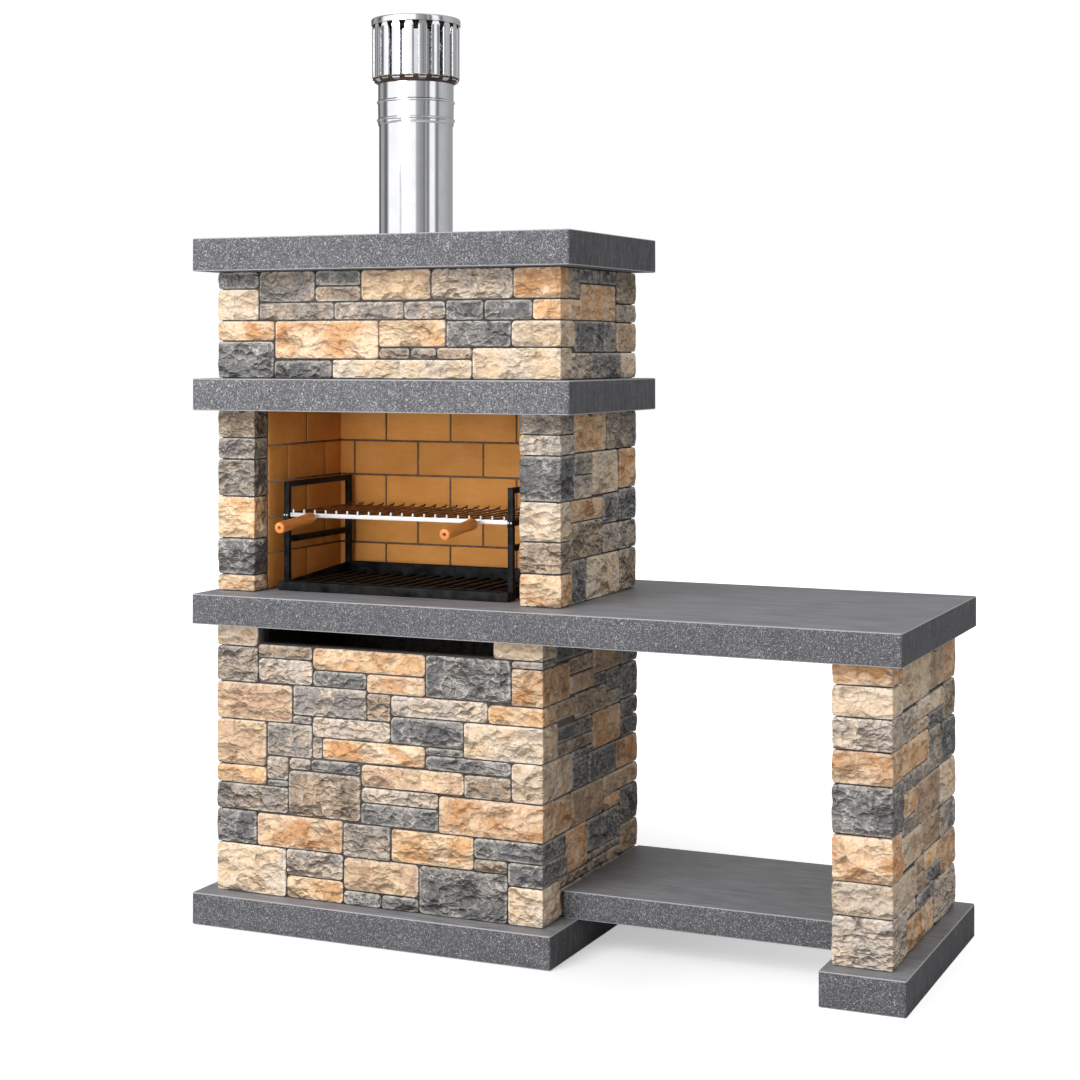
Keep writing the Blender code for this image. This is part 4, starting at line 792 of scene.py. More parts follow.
class Shape:
    """Points, faces and finishes of a piece while it is being made."""

    def __init__(self, *names):
        self.materials = finishes(*names)
        self.slots = names
        self.points, self.faces, self.used = [], [], []
        # rim marks edges that get a painted highlight; ridge tells crests from hollows, and the
        # stone material darkens the hollows with painted shade
        self.values = {"tint": [], "ridge": [], "rim": []}
        self.count = 0

    def add(self, points, faces, finish, tint=0.5, ridge=0.0, rim=0.0):
        points = np.asarray(points, float).reshape(-1, 3)
        self.points.append(points)
        self.faces += [[self.count + corner for corner in face] for face in faces]
        self.used += [self.slots.index(finish)] * len(faces)
        for name, value in (("tint", tint), ("ridge", ridge), ("rim", rim)):
            self.values[name].append(np.broadcast_to(np.ravel(value), len(points)))
        self.count += len(points)

    def piece(self, name, body, slot, replaced, sharp=None, outward=False):
        """Makes the object, hangs it on the body that it rides on and hides the nodes that it
        stands for.
        """
        mesh = bpy.data.meshes.new(name)
        mesh.from_pydata(np.concatenate(self.points).tolist(), [], self.faces)
        for material in self.materials.values():
            mesh.materials.append(material)
        mesh.polygons.foreach_set("material_index", self.used)
        mesh.polygons.foreach_set("use_smooth", [True] * len(self.faces))
        for label, values in self.values.items():
            layer = mesh.attributes.new(label, "FLOAT", "POINT")
            layer.data.foreach_set("value", np.concatenate(values).astype(np.float32))
        if outward:
            bm = bmesh.new()
            bm.from_mesh(mesh)
            bmesh.ops.recalc_face_normals(bm, faces=bm.faces)
            bm.to_mesh(mesh)
            bm.free()
        if sharp is not None:
            mesh.set_sharp_from_angle(angle=math.radians(sharp))
        obj = bpy.data.objects.new(name, mesh)
        bpy.context.scene.collection.objects.link(obj)
        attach(obj, body)
        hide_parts(*replaced)


def placed(points, place):
    """Points moved by a 4 x 4 matrix."""
    matrix = np.array(place, float)
    return np.asarray(points, float).reshape(-1, 3) @ matrix[:3, :3].T + matrix[:3, 3]


def loft(shape, rings, finish, closed=False, tint=0.5, rim=0.0):
    """Skins rings of points, with flat ends or, when closed, from the last ring to the first."""
    rings = np.asarray(rings, float)
    count, around = rings.shape[:2]
    index = np.arange(count * around).reshape(count, around)
    upper = np.roll(index, -1, 0)
    quads = np.stack([index, np.roll(index, -1, 1), np.roll(upper, -1, 1), upper], -1)
    faces = (quads if closed else quads[:-1]).reshape(-1, 4).tolist()
    if not closed:
        faces += [index[0][::-1].tolist(), index[-1].tolist()]
    shape.add(rings, faces, finish, tint, rim=rim)


def block(shape, low, high, edge, finish, taper=None):
    """A bar or plate with eased edges."""
    bm = bmesh.new()
    bmesh.ops.create_cube(bm, size=1.0)
    low, high = Vector(low), Vector(high)
    for vertex in bm.verts:
        for axis in range(3):
            vertex.co[axis] = high[axis] if vertex.co[axis] > 0 else low[axis]
        if taper:
            taper(vertex.co)
    if edge:
        bmesh.ops.bevel(
            bm, geom=bm.edges, offset=edge, segments=2, profile=0.6, affect="EDGES",
            clamp_overlap=True,
        )
    bm.verts.index_update()
    points = [vertex.co.copy() for vertex in bm.verts]
    faces = [[vertex.index for vertex in face.verts] for face in bm.faces]
    bm.free()
    shape.add(points, faces, finish)


def rod(shape, points, radius, finish, sides=10):
    """A round rod along points, with slightly rounded ends."""
    path = [Vector(point) for point in points]
    first, last = (path[1] - path[0]).normalized(), (path[-1] - path[-2]).normalized()
    tip = radius * 0.4
    path = [path[0] - first * tip, *path, path[-1] + last * tip]
    sizes = [0.55, *([1.0] * len(points)), 0.55]
    side = first.orthogonal().normalized()
    angles = [2 * math.pi * step / sides for step in range(sides)]
    rings = []
    for index, (centre, size) in enumerate(zip(path, sizes)):
        direction = (path[min(index + 1, len(path) - 1)] - path[max(index - 1, 0)]).normalized()
        side = (side - direction * side.dot(direction)).normalized()
        across = direction.cross(side)
        rings.append([
            centre + (side * math.cos(angle) + across * math.sin(angle)) * radius * size
            for angle in angles
        ])
    loft(shape, rings, finish)


def turned(shape, profile, place, steps, finish, closed=False):
    """A turned shape about Z. The profile runs upwards on its outer side."""
    angles = np.linspace(0, 2 * math.pi, steps, endpoint=False)
    rings = [
        np.stack([r * np.cos(angles), r * np.sin(angles), np.full(steps, z)], 1)
        for r, z in profile
    ]
    loft(shape, placed(rings, place).reshape(len(profile), steps, 3), finish, closed)


def band(inner, outer, bottom, top):
    """The closed profile of a ring."""
    return [(outer, bottom), (outer, top), (inner, top), (inner, bottom)]


def disc(radius, bottom, top):
    """The profile of a flat round plate or a pin."""
    return [(AXIS, bottom), (radius, bottom), (radius, top), (AXIS, top)]


# Stones

STONE_FINISHES = (*TONES, "mortar")
SIDES = ("front", "right", "rear", "left")
WALL_THICKNESS = 0.060
FIREBOX_REAR_MORTAR = 0.029
CORNER_RECESS = 0.0005
# How much the flakes' outlines wander, across and up, and how softly two flakes meet
FLAKE_WANDER, FLAKE_BLEND = (0.016, 0.012), 0.00016
# Distances from a stone's edge over which it swells, and over which its flakes begin
SWELL_REACH, FLAKE_REACH = 0.022, 0.012
# Distance from a corner over which the flakes are calmer
CALM_REACH = 0.03
# Left and right ends of the slot for ashes in the front wall, and its height
ASH_SLOT = (0.126, 0.815, 0.050)


def bent_path(corners, radius):
    """A path round square corners, which gives place and outward side at a distance."""
    corners = np.array(corners, float)
    steps = np.diff(corners, axis=0)
    lengths = np.hypot(steps[:, 0], steps[:, 1])
    along = steps / lengths[:, None]
    outwards = np.stack([along[:, 1], -along[:, 0]], 1)
    ends = np.concatenate(([0.0], np.cumsum(lengths)))

    def at(distance):
        leg = np.clip(np.searchsorted(ends, distance, side="right") - 1, 0, len(steps) - 1)
        place = corners[leg] + along[leg] * (distance - ends[leg])[:, None]
        outward = outwards[leg]
        for turn in range(1, len(steps)):
            near = np.abs(distance - ends[turn]) < radius
            angle = (distance[near] - ends[turn] + radius) / (2 * radius) * math.pi / 2
            before, after = np.cos(angle)[:, None], np.sin(angle)[:, None]
            normal = before * outwards[turn - 1] + after * outwards[turn]
            centre = corners[turn] + (along[turn] - along[turn - 1]) * radius
            outward[near] = normal
            place[near] = centre + normal * radius
        return place, outward

    return at, ends[-1], ends[1:-1]


def stations(extent, grid, edge, turns=(), radius=0.0):
    """Places along one side of a stone, closer together where its surface rounds."""
    rim = edge * np.array((0.0, 0.14, 0.42))
    count = max(2, round((extent - 2 * edge) / grid) + 1)
    even = np.linspace(edge, extent - edge, count)
    for turn in turns:
        even = even[np.abs(even - turn) > radius * 1.3]
        even = np.concatenate((even, turn + radius * np.linspace(-1, 1, 5)))
    inner = np.sort(np.concatenate((rim, even, extent - rim)))
    return np.concatenate(([0.0], inner, [extent]))


def split_face(across, up, extent, height, cut, draw):
    """Heights of a split face: flakes that tilt their own way and meet in steps."""
    origin = Vector((draw.uniform(0, 90), draw.uniform(0, 90), draw.uniform(0, 90)))
    spots = [Vector((x, z, 0)) for x, z in zip(across.ravel(), up.ravel())]
    noise.seed_set(FLAKE_SEED)
    warp = np.array([noise.noise_vector(spot * 34 + origin) for spot in spots])
    fine = np.array([noise.fractal(spot * 42 + origin, 0.9, 2.1, 4) for spot in spots])
    x = across.ravel() + warp[:, 0] * FLAKE_WANDER[0]
    z = up.ravel() + warp[:, 1] * FLAKE_WANDER[1]
    columns = max(1, round(extent / cut.flake))
    rows = max(1, round(height / (cut.flake * 0.7)))
    heights, nearness = [], []
    for column in range(columns):
        for row in range(rows):
            cx = extent * (column + draw.uniform(0.1, 0.9)) / columns
            cz = height * (row + draw.uniform(0.1, 0.9)) / rows
            lift = draw.uniform(-1, 1) * cut.relief
            slope_x, slope_z = draw.uniform(-0.10, 0.10), draw.uniform(-0.14, 0.14)
            heights.append(lift + slope_x * (x - cx) + slope_z * (z - cz))
            nearness.append((x - cx) ** 2 + ((z - cz) * 1.35) ** 2)
    heights, nearness = np.array(heights), np.array(nearness)
    weights = np.exp(-(nearness - nearness.min(0)) / FLAKE_BLEND)
    flaked = (weights * heights).sum(0) / weights.sum(0)
    return (flaked + fine * cut.relief * 0.30).reshape(across.shape)


def ridges(heights, reach):
    """How far each point stands over its neighbours, from -1 in hollows to 1 on crests."""
    padded = np.pad(heights, 2, mode="edge")
    rows, columns = heights.shape
    around = sum(
        padded[2 + i:2 + i + rows, 2 + j:2 + j + columns]
        for i, j in ((2, 0), (-2, 0), (0, 2), (0, -2), (1, 1), (-1, -1), (1, -1), (-1, 1))
    )
    return np.clip((heights - around / 8) / reach, -1, 1)


def lay_stone(shape, cut, place, corners, bottom, top, recess, finish, seed):
    """A stone along a path in a face's frame, from one joint's middle to the next."""
    draw = random.Random(seed)
    half = cut.joint / 2
    at, extent, turns = bent_path(corners, cut.turn)
    run, rise = extent - cut.joint, top - bottom - cut.joint
    across = stations(run, cut.grid, cut.edge, [t - half for t in turns], cut.turn)
    up = stations(rise, cut.grid, cut.edge)
    s, z = np.meshgrid(across, up, indexing="ij")
    radius = min(cut.corner * draw.uniform(0.6, 1.2), rise * 0.45, run * 0.45)
    inner_s, inner_z = np.clip(s, radius, run - radius), np.clip(z, radius, rise - radius)
    off_s, off_z = s - inner_s, z - inner_z
    square = np.maximum(np.abs(off_s), np.abs(off_z))
    round_off = np.hypot(off_s, off_z)
    pull = np.where(round_off > 0, square / np.maximum(round_off, 1e-9), 1)
    margin = np.minimum(np.minimum(s, run - s), np.minimum(z, rise - z))
    s, z = inner_s + off_s * pull, inner_z + off_z * pull
    relief = split_face(s, z, run, rise, cut, draw) if cut.relief else np.zeros_like(s)
    sway = [draw.uniform(0, 50) for _ in range(4)]
    ends = [np.array([noise.noise(Vector((v * 22, k, 0))) for v in up]) for k in sway[:2]]
    rims = [np.array([noise.noise(Vector((v * 16, k, 0))) for v in across]) for k in sway[2:]]
    s = s + cut.sway * (
        (1 + ends[0])[None, :] * (1 - s / run) ** 3 - (1 + ends[1])[None, :] * (s / run) ** 3
    )
    z = z + cut.sway * (
        (1 + rims[0])[:, None] * (1 - z / rise) ** 3 - (1 + rims[1])[:, None] * (z / rise) ** 3
    )
    near = np.clip(margin / cut.edge, 0, 1)
    out = -recess - cut.edge * (1 - np.sqrt(np.maximum(1 - (1 - near) ** 2, 0)))
    swell = np.clip(margin / min(SWELL_REACH, rise * 0.4), 0, 1)
    out -= cut.bulge * (1 - swell) ** 2
    calm = np.ones_like(s)
    for turn in turns:
        away = np.clip(np.abs(s + half - turn) / CALM_REACH, 0, 1)
        calm = np.minimum(calm, 0.25 + 0.75 * away)
    out += relief * calm * np.clip(margin / FLAKE_REACH, 0.0, 1) ** 0.8
    # Crests and hollows of the face; the stone material darkens the hollows, and the skirts below,
    # with painted shade
    crest = ridges(out, cut.crest)
    # Where the painted highlight along the rounded edge falls
    rim = np.clip(2.1 - margin / (0.75 * cut.edge), 0, 1)
    for skirt in (np.s_[0, :], np.s_[-1, :], np.s_[:, 0], np.s_[:, -1]):
        out[skirt], crest[skirt], rim[skirt] = -cut.skirt, -1, 0
    flat, outward = at((s + half).ravel())
    spots = flat + outward * out.ravel()[:, None]
    points = np.column_stack([spots, (z + bottom + half).ravel()])
    index = np.arange(s.size).reshape(s.shape)
    quads = np.stack([index[:-1, :-1], index[1:, :-1], index[1:, 1:], index[:-1, 1:]], -1)
    faces = quads.reshape(-1, 4).tolist()
    shape.add(placed(points, place), faces, finish, draw.random(), crest, rim)


class Cut:
    """How a kind of stone or brick is cut."""

    def __init__(self, **sizes):
        self.__dict__.update(sizes)


def stone_cut():
    s = settings().stone
    return Cut(
        joint=s.joint, grid=s.grid, edge=s.edge, corner=s.corner, turn=0.004, bulge=s.bulge,
        relief=s.relief, flake=s.flake, skirt=s.mortar_depth + 0.004, sway=0.0009, crest=0.0011,
    )


class StoneBody:
    """A stone-faced block between two slabs, with faces named in the order of SIDES.

    In a face's frame u runs along it, d into the wall and z up from the bottom.
    """

    def __init__(self, nodes, drawn, seed):
        boxes = [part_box(node) for node in nodes]
        self.low = Vector([min(box[0][axis] for box in boxes) for axis in range(3)])
        self.high = Vector([max(box[1][axis] for box in boxes) for axis in range(3)])
        self.low.z -= GAP
        self.high.z += GAP
        self.width, self.depth, self.height = self.high - self.low
        self.drawn = drawn
        self.random = random.Random(seed)
        self.laid = seed * 1000
        self.cut = stone_cut()
        self.mortar_depth = settings().stone.mortar_depth

    def face_length(self, face):
        return self.depth if face % 2 else self.width

    def frame(self, face):
        """The matrix of a face's frame."""
        x = self.low.x if face in (0, 3) else self.high.x
        y = self.low.y if face in (0, 1) else self.high.y
        turn = Matrix.Rotation(face * math.pi / 2, 4, "Z")
        return Matrix.Translation((x, y, self.low.z)) @ turn

    def along(self, face, drawn):
        return drawn * self.face_length(face) / self.drawn[face % 2]

    def up(self, drawn):
        return drawn * self.height / self.drawn[2]

    def lay(self, shape, face, corners, bottom, top, recess, tone):
        """A stone on a path in a face's frame, from one drawn height to another."""
        self.laid += 1
        lay_stone(
            shape, self.cut, self.frame(face % 4), corners, self.up(bottom), self.up(top),
            recess, tone, self.laid,
        )

    def stone(self, shape, face, row):
        left, right, bottom, top, tone = row
        recess = self.random.uniform(0, LARGEST_RECESS)
        corners = [(self.along(face, left), 0), (self.along(face, right), 0)]
        self.lay(shape, face, corners, bottom, top, recess, tone)

    def corner_stone(self, shape, corner, row):
        bottom, top, before, after, tone = row
        corners = [(0, self.along(corner - 1, before)), (0, 0), (self.along(corner, after), 0)]
        self.lay(shape, corner, corners, bottom, top, CORNER_RECESS, tone)

    def rubble(self, face, taken):
        """Fills a face round the places already taken, from the bottom up."""
        columns, rows = self.drawn[face % 2] // CELL, self.drawn[2] // CELL
        filled = np.zeros((rows, columns), bool)
        for left, right, bottom, top in taken:
            filled[bottom // CELL:-(-top // CELL), left // CELL:-(-right // CELL)] = True
        found = []
        for row in range(rows):
            for column in range(columns):
                if filled[row, column]:
                    continue
                room = 0
                while column + room < columns and not filled[row, column + room]:
                    room += 1
                across = self.fit(room, FILL_WIDTHS, FILL_LONGEST, FILL_SHORTEST)
                rise = 0
                while row + rise < rows and not filled[row + rise, column:column + across].any():
                    rise += 1
                tall = self.fit(rise, FILL_HEIGHTS, FILL_TALLEST, FILL_THINNEST)
                filled[row:row + tall, column:column + across] = True
                if min(across, tall) >= FILL_SLIVER:
                    left, bottom = column * CELL, row * CELL
                    found.append((left, left + across * CELL, bottom, bottom + tall * CELL))
        tones = random.Random(columns * 7 + face)
        return [(*row, tones.choice(TONES)) for row in found]

    def fit(self, room, sizes, most, least):
        """A size from the list, or the whole room where the rest would be a sliver."""
        size = self.random.choice(sizes)
        if room - size >= least:
            return size
        return room if room <= most else room // 2

    def fill(self, face, corners):
        """Rubble between the corner stones at both ends of a face."""
        extent = self.drawn[face % 2]
        after = [(0, row[3], row[0], row[1]) for row in corners[face]]
        before = [(extent - row[2], extent, row[0], row[1]) for row in corners[(face + 1) % 4]]
        return self.rubble(face, after + before)

    def mortar(self, shape, face, far, start, end, notch=None):
        """The mortar behind a face's stones, as high as the body, with a notch in its top."""
        top = self.height - GAP
        outline = [(start, GAP), (end, GAP), (end, top)]
        if notch:
            left, right, drop = notch
            outline += [(right, top), (right, top - drop), (left, top - drop), (left, top)]
        outline.append((start, top))
        prism(shape, outline, self.mortar_depth, far, self.frame(face), "mortar")


def prism(shape, outline, near, far, place, finish):
    """An upright plate in a face's frame, from its outline in u and z."""
    rings = [placed([(u, d, z) for u, z in outline], place) for d in (far, near)]
    loft(shape, rings, finish)


def walls_of(prefix):
    """The nodes of a body's walls that are in the frame."""
    walls = [f"{prefix}_{side}_wall" for side in SIDES]
    return [wall for wall in walls if wall in frame["nodes"]]


def lay_walls(body, prefix, corners, faces, notch=None, rear=WALL_THICKNESS):
    """Lays the stones of each face and the corners that its wall carries."""
    for face, rows in faces.items():
        shape = Shape(*STONE_FINISHES)
        for row in rows:
            body.stone(shape, face, row)
        extent = body.face_length(face)
        if face % 2:
            start, end = WALL_THICKNESS + GAP, extent - WALL_THICKNESS - GAP
        else:
            start, end = body.mortar_depth, extent - body.mortar_depth
        far = rear if face == 2 else WALL_THICKNESS
        body.mortar(shape, face, far, start, end, notch if face == 0 else None)
        if face % 2 == 0:
            for corner in (face, (face + 1) % 4):
                for row in corners[corner]:
                    body.corner_stone(shape, corner, row)
        name = f"{prefix}_{SIDES[face]}"
        shape.piece(f"{name}_stones", "barbecue", "rubble_stone", [f"{name}_wall"])


def lay_four_walls(prefix, drawn, seed, corners, front, right, notch=None):
    """A body whose front and right faces are drawn and whose others are filled."""
    body = StoneBody(walls_of(prefix), drawn, seed)
    rubble = {face: body.fill(face, corners) for face in (2, 3)}
    lay_walls(body, prefix, corners, {0: front, 1: right, **rubble}, notch)


def lay_lower_body():
    """The stone body under the counter, with the ash slot in its front."""
    lay_four_walls(
        "lower", LOWER_DRAWN, 11, LOWER_CORNERS, LOWER_FRONT, LOWER_RIGHT, ASH_SLOT
    )


def lay_hood():
    """The stone body between the mantel and the top slab."""
    lay_four_walls("hood", HOOD_DRAWN, 23, HOOD_CORNERS, HOOD_FRONT, HOOD_RIGHT)


def lay_firebox():
    """The two stone piers at the firebox's sides and the wall behind it."""
    body = StoneBody(walls_of("firebox"), FIREBOX_DRAWN, 37)
    depth = body.mortar_depth
    left_blocks = [(b, t, back, 0, tone) for b, t, back, tone in FIREBOX_LEFT_BLOCKS]
    right_blocks = [(b, t, 0, back, tone) for b, t, back, tone in FIREBOX_RIGHT_BLOCKS]
    corners = [left_blocks, right_blocks, *FIREBOX_REAR_CORNERS]
    faces = {1: FIREBOX_RIGHT, 3: body.fill(3, corners)}
    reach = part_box("firebrick_left")[0].y - GAP - body.low.y
    rear_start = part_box("firebox_rear_wall")[0].y - GAP
    bottom, top, split = body.low.z + GAP, body.high.z - GAP, body.low.y + reach - depth
    for face, blocks in ((1, FIREBOX_RIGHT_BLOCKS), (3, FIREBOX_LEFT_BLOCKS)):
        shape = Shape(*STONE_FINISHES)
        for row in faces[face]:
            body.stone(shape, face, row)
        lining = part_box(f"firebrick_{SIDES[face]}")
        if face == 3:
            width = lining[1].x - body.low.x
            core = (body.low.x + depth, body.low.x + width - depth)
            side = (core[0], lining[0].x - GAP)
        else:
            width = body.high.x - lining[0].x
            core = (body.high.x - width + depth, body.high.x - depth)
            side = (lining[1].x + GAP, core[1])
        for low, high, back, tone in blocks:
            outer = body.along(1, back)
            if face == 3:
                path = [(0, outer), (0, 0), (width, 0), (width, reach)]
            else:
                end = body.width
                path = [(end - width, reach), (end - width, 0), (end, 0), (end, outer)]
            body.lay(shape, 0, path, low, high, CORNER_RECESS, tone)
        block(shape, (core[0], body.low.y + depth, bottom), (core[1], split, top), 0, "mortar")
        block(shape, (side[0], split, bottom), (side[1], rear_start, top), 0, "mortar")
        name = f"firebox_{SIDES[face]}"
        shape.piece(f"{name}_stones", "barbecue", "rubble_stone", [f"{name}_wall"])
    rear = {2: body.fill(2, corners)}
    lay_walls(body, "firebox", corners, rear, rear=FIREBOX_REAR_MORTAR)


def lay_table_pier():
    """The pier under the free end of the counter."""
    body = StoneBody(["table_pier"], PIER_DRAWN, 41)
    shape = Shape(*STONE_FINISHES)
    for face, blocks in ((0, PIER_FRONT_BLOCKS), (2, PIER_REAR_BLOCKS)):
        for bottom, top, back, tone in blocks:
            back = body.along(1, back)
            path = [(0, back), (0, 0), (body.width, 0), (body.width, back)]
            body.lay(shape, face, path, bottom, top, CORNER_RECESS, tone)
    for row in PIER_RIGHT:
        body.stone(shape, 1, row)
    extent = PIER_DRAWN[1]
    taken = [(extent - back, extent, b, t) for b, t, back, _ in PIER_FRONT_BLOCKS]
    taken += [(0, back, b, t) for b, t, back, _ in PIER_REAR_BLOCKS]
    for row in body.rubble(3, taken):
        body.stone(shape, 3, row)
    inset = Vector((body.mortar_depth, body.mortar_depth, GAP))
    block(shape, body.low + inset, body.high - inset, 0, "mortar")
    shape.piece("table_pier_stones", "barbecue", "rubble_stone", ["table_pier"])


# Slabs

SLAB_PITCH = 0.03
ROUNDING = (0, 30, 60, 90)
# How far the mantel's smoke hole stays inside the firebrick
SMOKE_INSET = 0.070
# How far the ledge under the flue reaches inwards, and how deep the flue stands in the top slab
SEAT_LEDGE, SEAT_DEPTH = 0.008, 0.030
# How pale the slabs are, from 0 to 1
SLAB_TINT, MANTEL_TINT, TOP_TINT = 0.4, 0.85, 0.65
# How deep the wear of the slabs' sides is
SLAB_WEAR = 0.0003


def plan_loop(low, high, inset, corner, pitch):
    """A rectangle with rounded corners, as points counted the same for any inset."""
    x0, y0, x1, y1 = low[0] + inset, low[1] + inset, high[0] - inset, high[1] - inset
    radius = max(corner - inset, 0.0005)
    across = max(2, round((high[0] - low[0]) / pitch))
    deep = max(2, round((high[1] - low[1]) / pitch))
    loop = []
    for (cx, cy), start, count, step in (
        ((x1 - radius, y0 + radius), -90, deep, (0, 1)),
        ((x1 - radius, y1 - radius), 0, across, (-1, 0)),
        ((x0 + radius, y1 - radius), 90, deep, (0, -1)),
        ((x0 + radius, y0 + radius), 180, across, (1, 0)),
    ):
        for angle in ROUNDING:
            turn = math.radians(start + angle)
            loop.append((cx + radius * math.cos(turn), cy + radius * math.sin(turn)))
        run = (y1 - y0 if step[0] == 0 else x1 - x0) - 2 * radius
        end = loop[-1]
        for index in range(1, count):
            part = run * index / count
            loop.append((end[0] + step[0] * part, end[1] + step[1] * part))
    return np.array(loop)


def slab_rings(low, high, edge, corner):
    """The rings of a slab's outer side from its underside to its top, and where the painted
    highlight on its eased edges falls.
    """
    z0, z1 = low[2], high[2]
    eased = []
    for angle in ROUNDING:
        turn = math.radians(angle)
        eased.append((edge * (1 - math.sin(turn)), edge * (1 - math.cos(turn)), angle))
    levels = [(inset, z0 + rise, angle) for inset, rise, angle in eased]
    levels += [(0.0, z0 + edge + (z1 - z0 - 2 * edge) * step, 90) for step in (0.25, 0.5, 0.75)]
    levels += [(inset, z1 - rise, angle) for inset, rise, angle in reversed(eased)]
    rings, edge_highlight = [], []
    for inset, z, angle in levels:
        loop = plan_loop(low, high, inset, corner, SLAB_PITCH)
        rough = np.array([noise.noise(Vector((x, y, z)) * 14) for x, y in loop])
        outward = loop - loop.mean(0)
        outward /= np.maximum(np.abs(outward).max(1), 1e-6)[:, None]
        loop = loop - outward * (rough[:, None] + 1) * SLAB_WEAR
        rings.append(np.column_stack([loop, np.full(len(loop), z)]))
        # The two middle rings of each eased edge carry the painted highlight
        edge_highlight.append(np.full(len(loop), 1.0 if angle in (30, 60) else 0.0))
    return rings, edge_highlight


def hole_loop(loop, centre, radius, half):
    """The points of a round or square hole that face the points of an outer loop."""
    off = loop[:, :2] - centre
    if radius:
        return centre + off / np.hypot(off[:, 0], off[:, 1])[:, None] * radius
    scale = (half / np.maximum(np.abs(off), 1e-9)).min(1)
    return centre + off * scale[:, None]


def make_slab(node, tint=SLAB_TINT, hole=None):
    """A slab in place of a plain one, with eased edges and perhaps a hole.

    The hole is given by its centre, its radius or half its sides, and its steps: how much
    wider than the bottom each one is, and how far below the top.
    """
    s = settings().slab
    low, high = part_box(node)
    shape = Shape("slab")
    rings, edge_highlight = slab_rings(low, high, s.edge, s.corner)
    if hole:
        centre, radius, half, steps = hole
        inner = hole_loop(rings[0], centre, radius, half)
        for scale, z in [(scale, high.z - drop) for scale, drop in steps] + [(1.0, low.z)]:
            points = centre + (inner - centre) * scale
            rings.append(np.column_stack([points, np.full(len(points), z)]))
            edge_highlight.append(np.zeros(len(points)))
    loft(shape, rings, "slab", bool(hole), tint, np.concatenate(edge_highlight))
    shape.piece(node.replace("slab", "cast_slab"), "barbecue", "slab_stone", [node], sharp=50)


def cast_slabs():
    """The six slabs: two bases, shelf, counter, mantel and top."""
    for node in ("base_slab", "pier_base_slab", "shelf_slab", "counter_slab"):
        make_slab(node)
    left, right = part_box("firebrick_left"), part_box("firebrick_right")
    x0, x1 = left[1].x + SMOKE_INSET, right[0].x - SMOKE_INSET
    y0, y1 = left[0].y + SMOKE_INSET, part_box("firebrick_rear")[0].y - SMOKE_INSET
    centre, half = np.array(((x0 + x1) / 2, (y0 + y1) / 2)), ((x1 - x0) / 2, (y1 - y0) / 2)
    make_slab("mantel_slab", MANTEL_TINT, (centre, None, half, [(1.0, 0.0)]))
    middle, pipe = flue_plan()
    radius = pipe - SEAT_LEDGE
    seat = (pipe + GAP) / radius
    steps = [(seat, 0.0), (seat, SEAT_DEPTH), (1.0, SEAT_DEPTH)]
    make_slab("top_slab", TOP_TINT, (middle, radius, None, steps))


# Firebricks

GROUT_DEPTH = 0.0028
# Share of a brick by which the joints of the rear panel are shifted
REAR_START = 0.72


def brick_panel(node, place, extent, height, thickness, offset):
    """Bricks in running bond on their grout."""
    s = settings().brick
    shape = Shape("clay", "grout")
    cut = Cut(
        joint=s.joint, grid=0.024, edge=s.edge, corner=0.0025, turn=0.004, bulge=0.0002,
        relief=0.0, skirt=0.004, sway=0.0002, crest=0.002,
    )
    outline = [(0, 0), (extent, 0), (extent, height), (0, height)]
    prism(shape, outline, GROUT_DEPTH, thickness, place, "grout")
    course, shortest = height / s.courses, s.brick / 8
    for row in range(s.courses):
        start = (offset + (s.brick / 2 if row % 2 else 0)) % s.brick - s.brick
        column = 0
        while start < extent - shortest:
            left, right = max(start, 0), min(start + s.brick, extent)
            start += s.brick
            column += 1
            if right - left < shortest:
                continue
            draw = random.Random(row * 31 + column * 7 + len(node))
            lay_stone(
                shape, cut, place, [(left, 0), (right, 0)], row * course, (row + 1) * course,
                draw.uniform(0, 0.0006), "clay", draw.randrange(10000),
            )
    shape.piece(node.replace("firebrick", "brick_lining"), "barbecue", "firebrick", [node])


def line_firebox():
    """The brick panels at the firebox's sides and back."""
    brick = settings().brick.brick
    left_low, left_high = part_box("firebrick_left")
    right_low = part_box("firebrick_right")[0]
    rear_low, rear_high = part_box("firebrick_rear")
    bottom, height = left_low.z, left_high.z - left_low.z
    depth, thickness = left_high.y - left_low.y, left_high.x - left_low.x
    width = rear_high.x - rear_low.x
    for side, x, y, quarters, extent, offset in (
        ("left", left_high.x, left_low.y, 1, depth, brick),
        ("right", right_low.x, left_high.y, -1, depth, depth % brick),
        ("rear", rear_low.x, rear_low.y, 0, width, thickness + brick * REAR_START),
    ):
        turn = Matrix.Rotation(quarters * math.pi / 2, 4, "Z")
        place = Matrix.Translation((x, y, bottom)) @ turn
        brick_panel(f"firebrick_{side}", place, extent, height, thickness, offset)


# Flue and cowl

PIPE_WALL = 0.0015
SLEEVE_RADIUS, CONE_BORE, CONE_RIM = 0.1015, 0.0985, 0.014
# Heights of the sleeve's two beads over its foot
BEADS = (0.014, 0.062)
# Width and flange of the outer channels, and how far their shoulder lies below their tops
CHANNEL_WIDTH, CHANNEL_FLANGE, SHOULDER = 0.024, 0.008, 0.024
INNER_RING = 0.1035
CAP_RIM = 0.015


def flue_plan():
    """The flue's centre, seen from above, and its radius."""
    low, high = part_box("flue_pipe")
    centre = np.array(((low.x + high.x) / 2, (low.y + high.y) / 2))
    return centre, (high.x - low.x) / 2


def flue_axis():
    """The matrix of the flue's own frame, which runs up its axis from the ground."""
    return Matrix.Translation((*flue_plan()[0], 0))


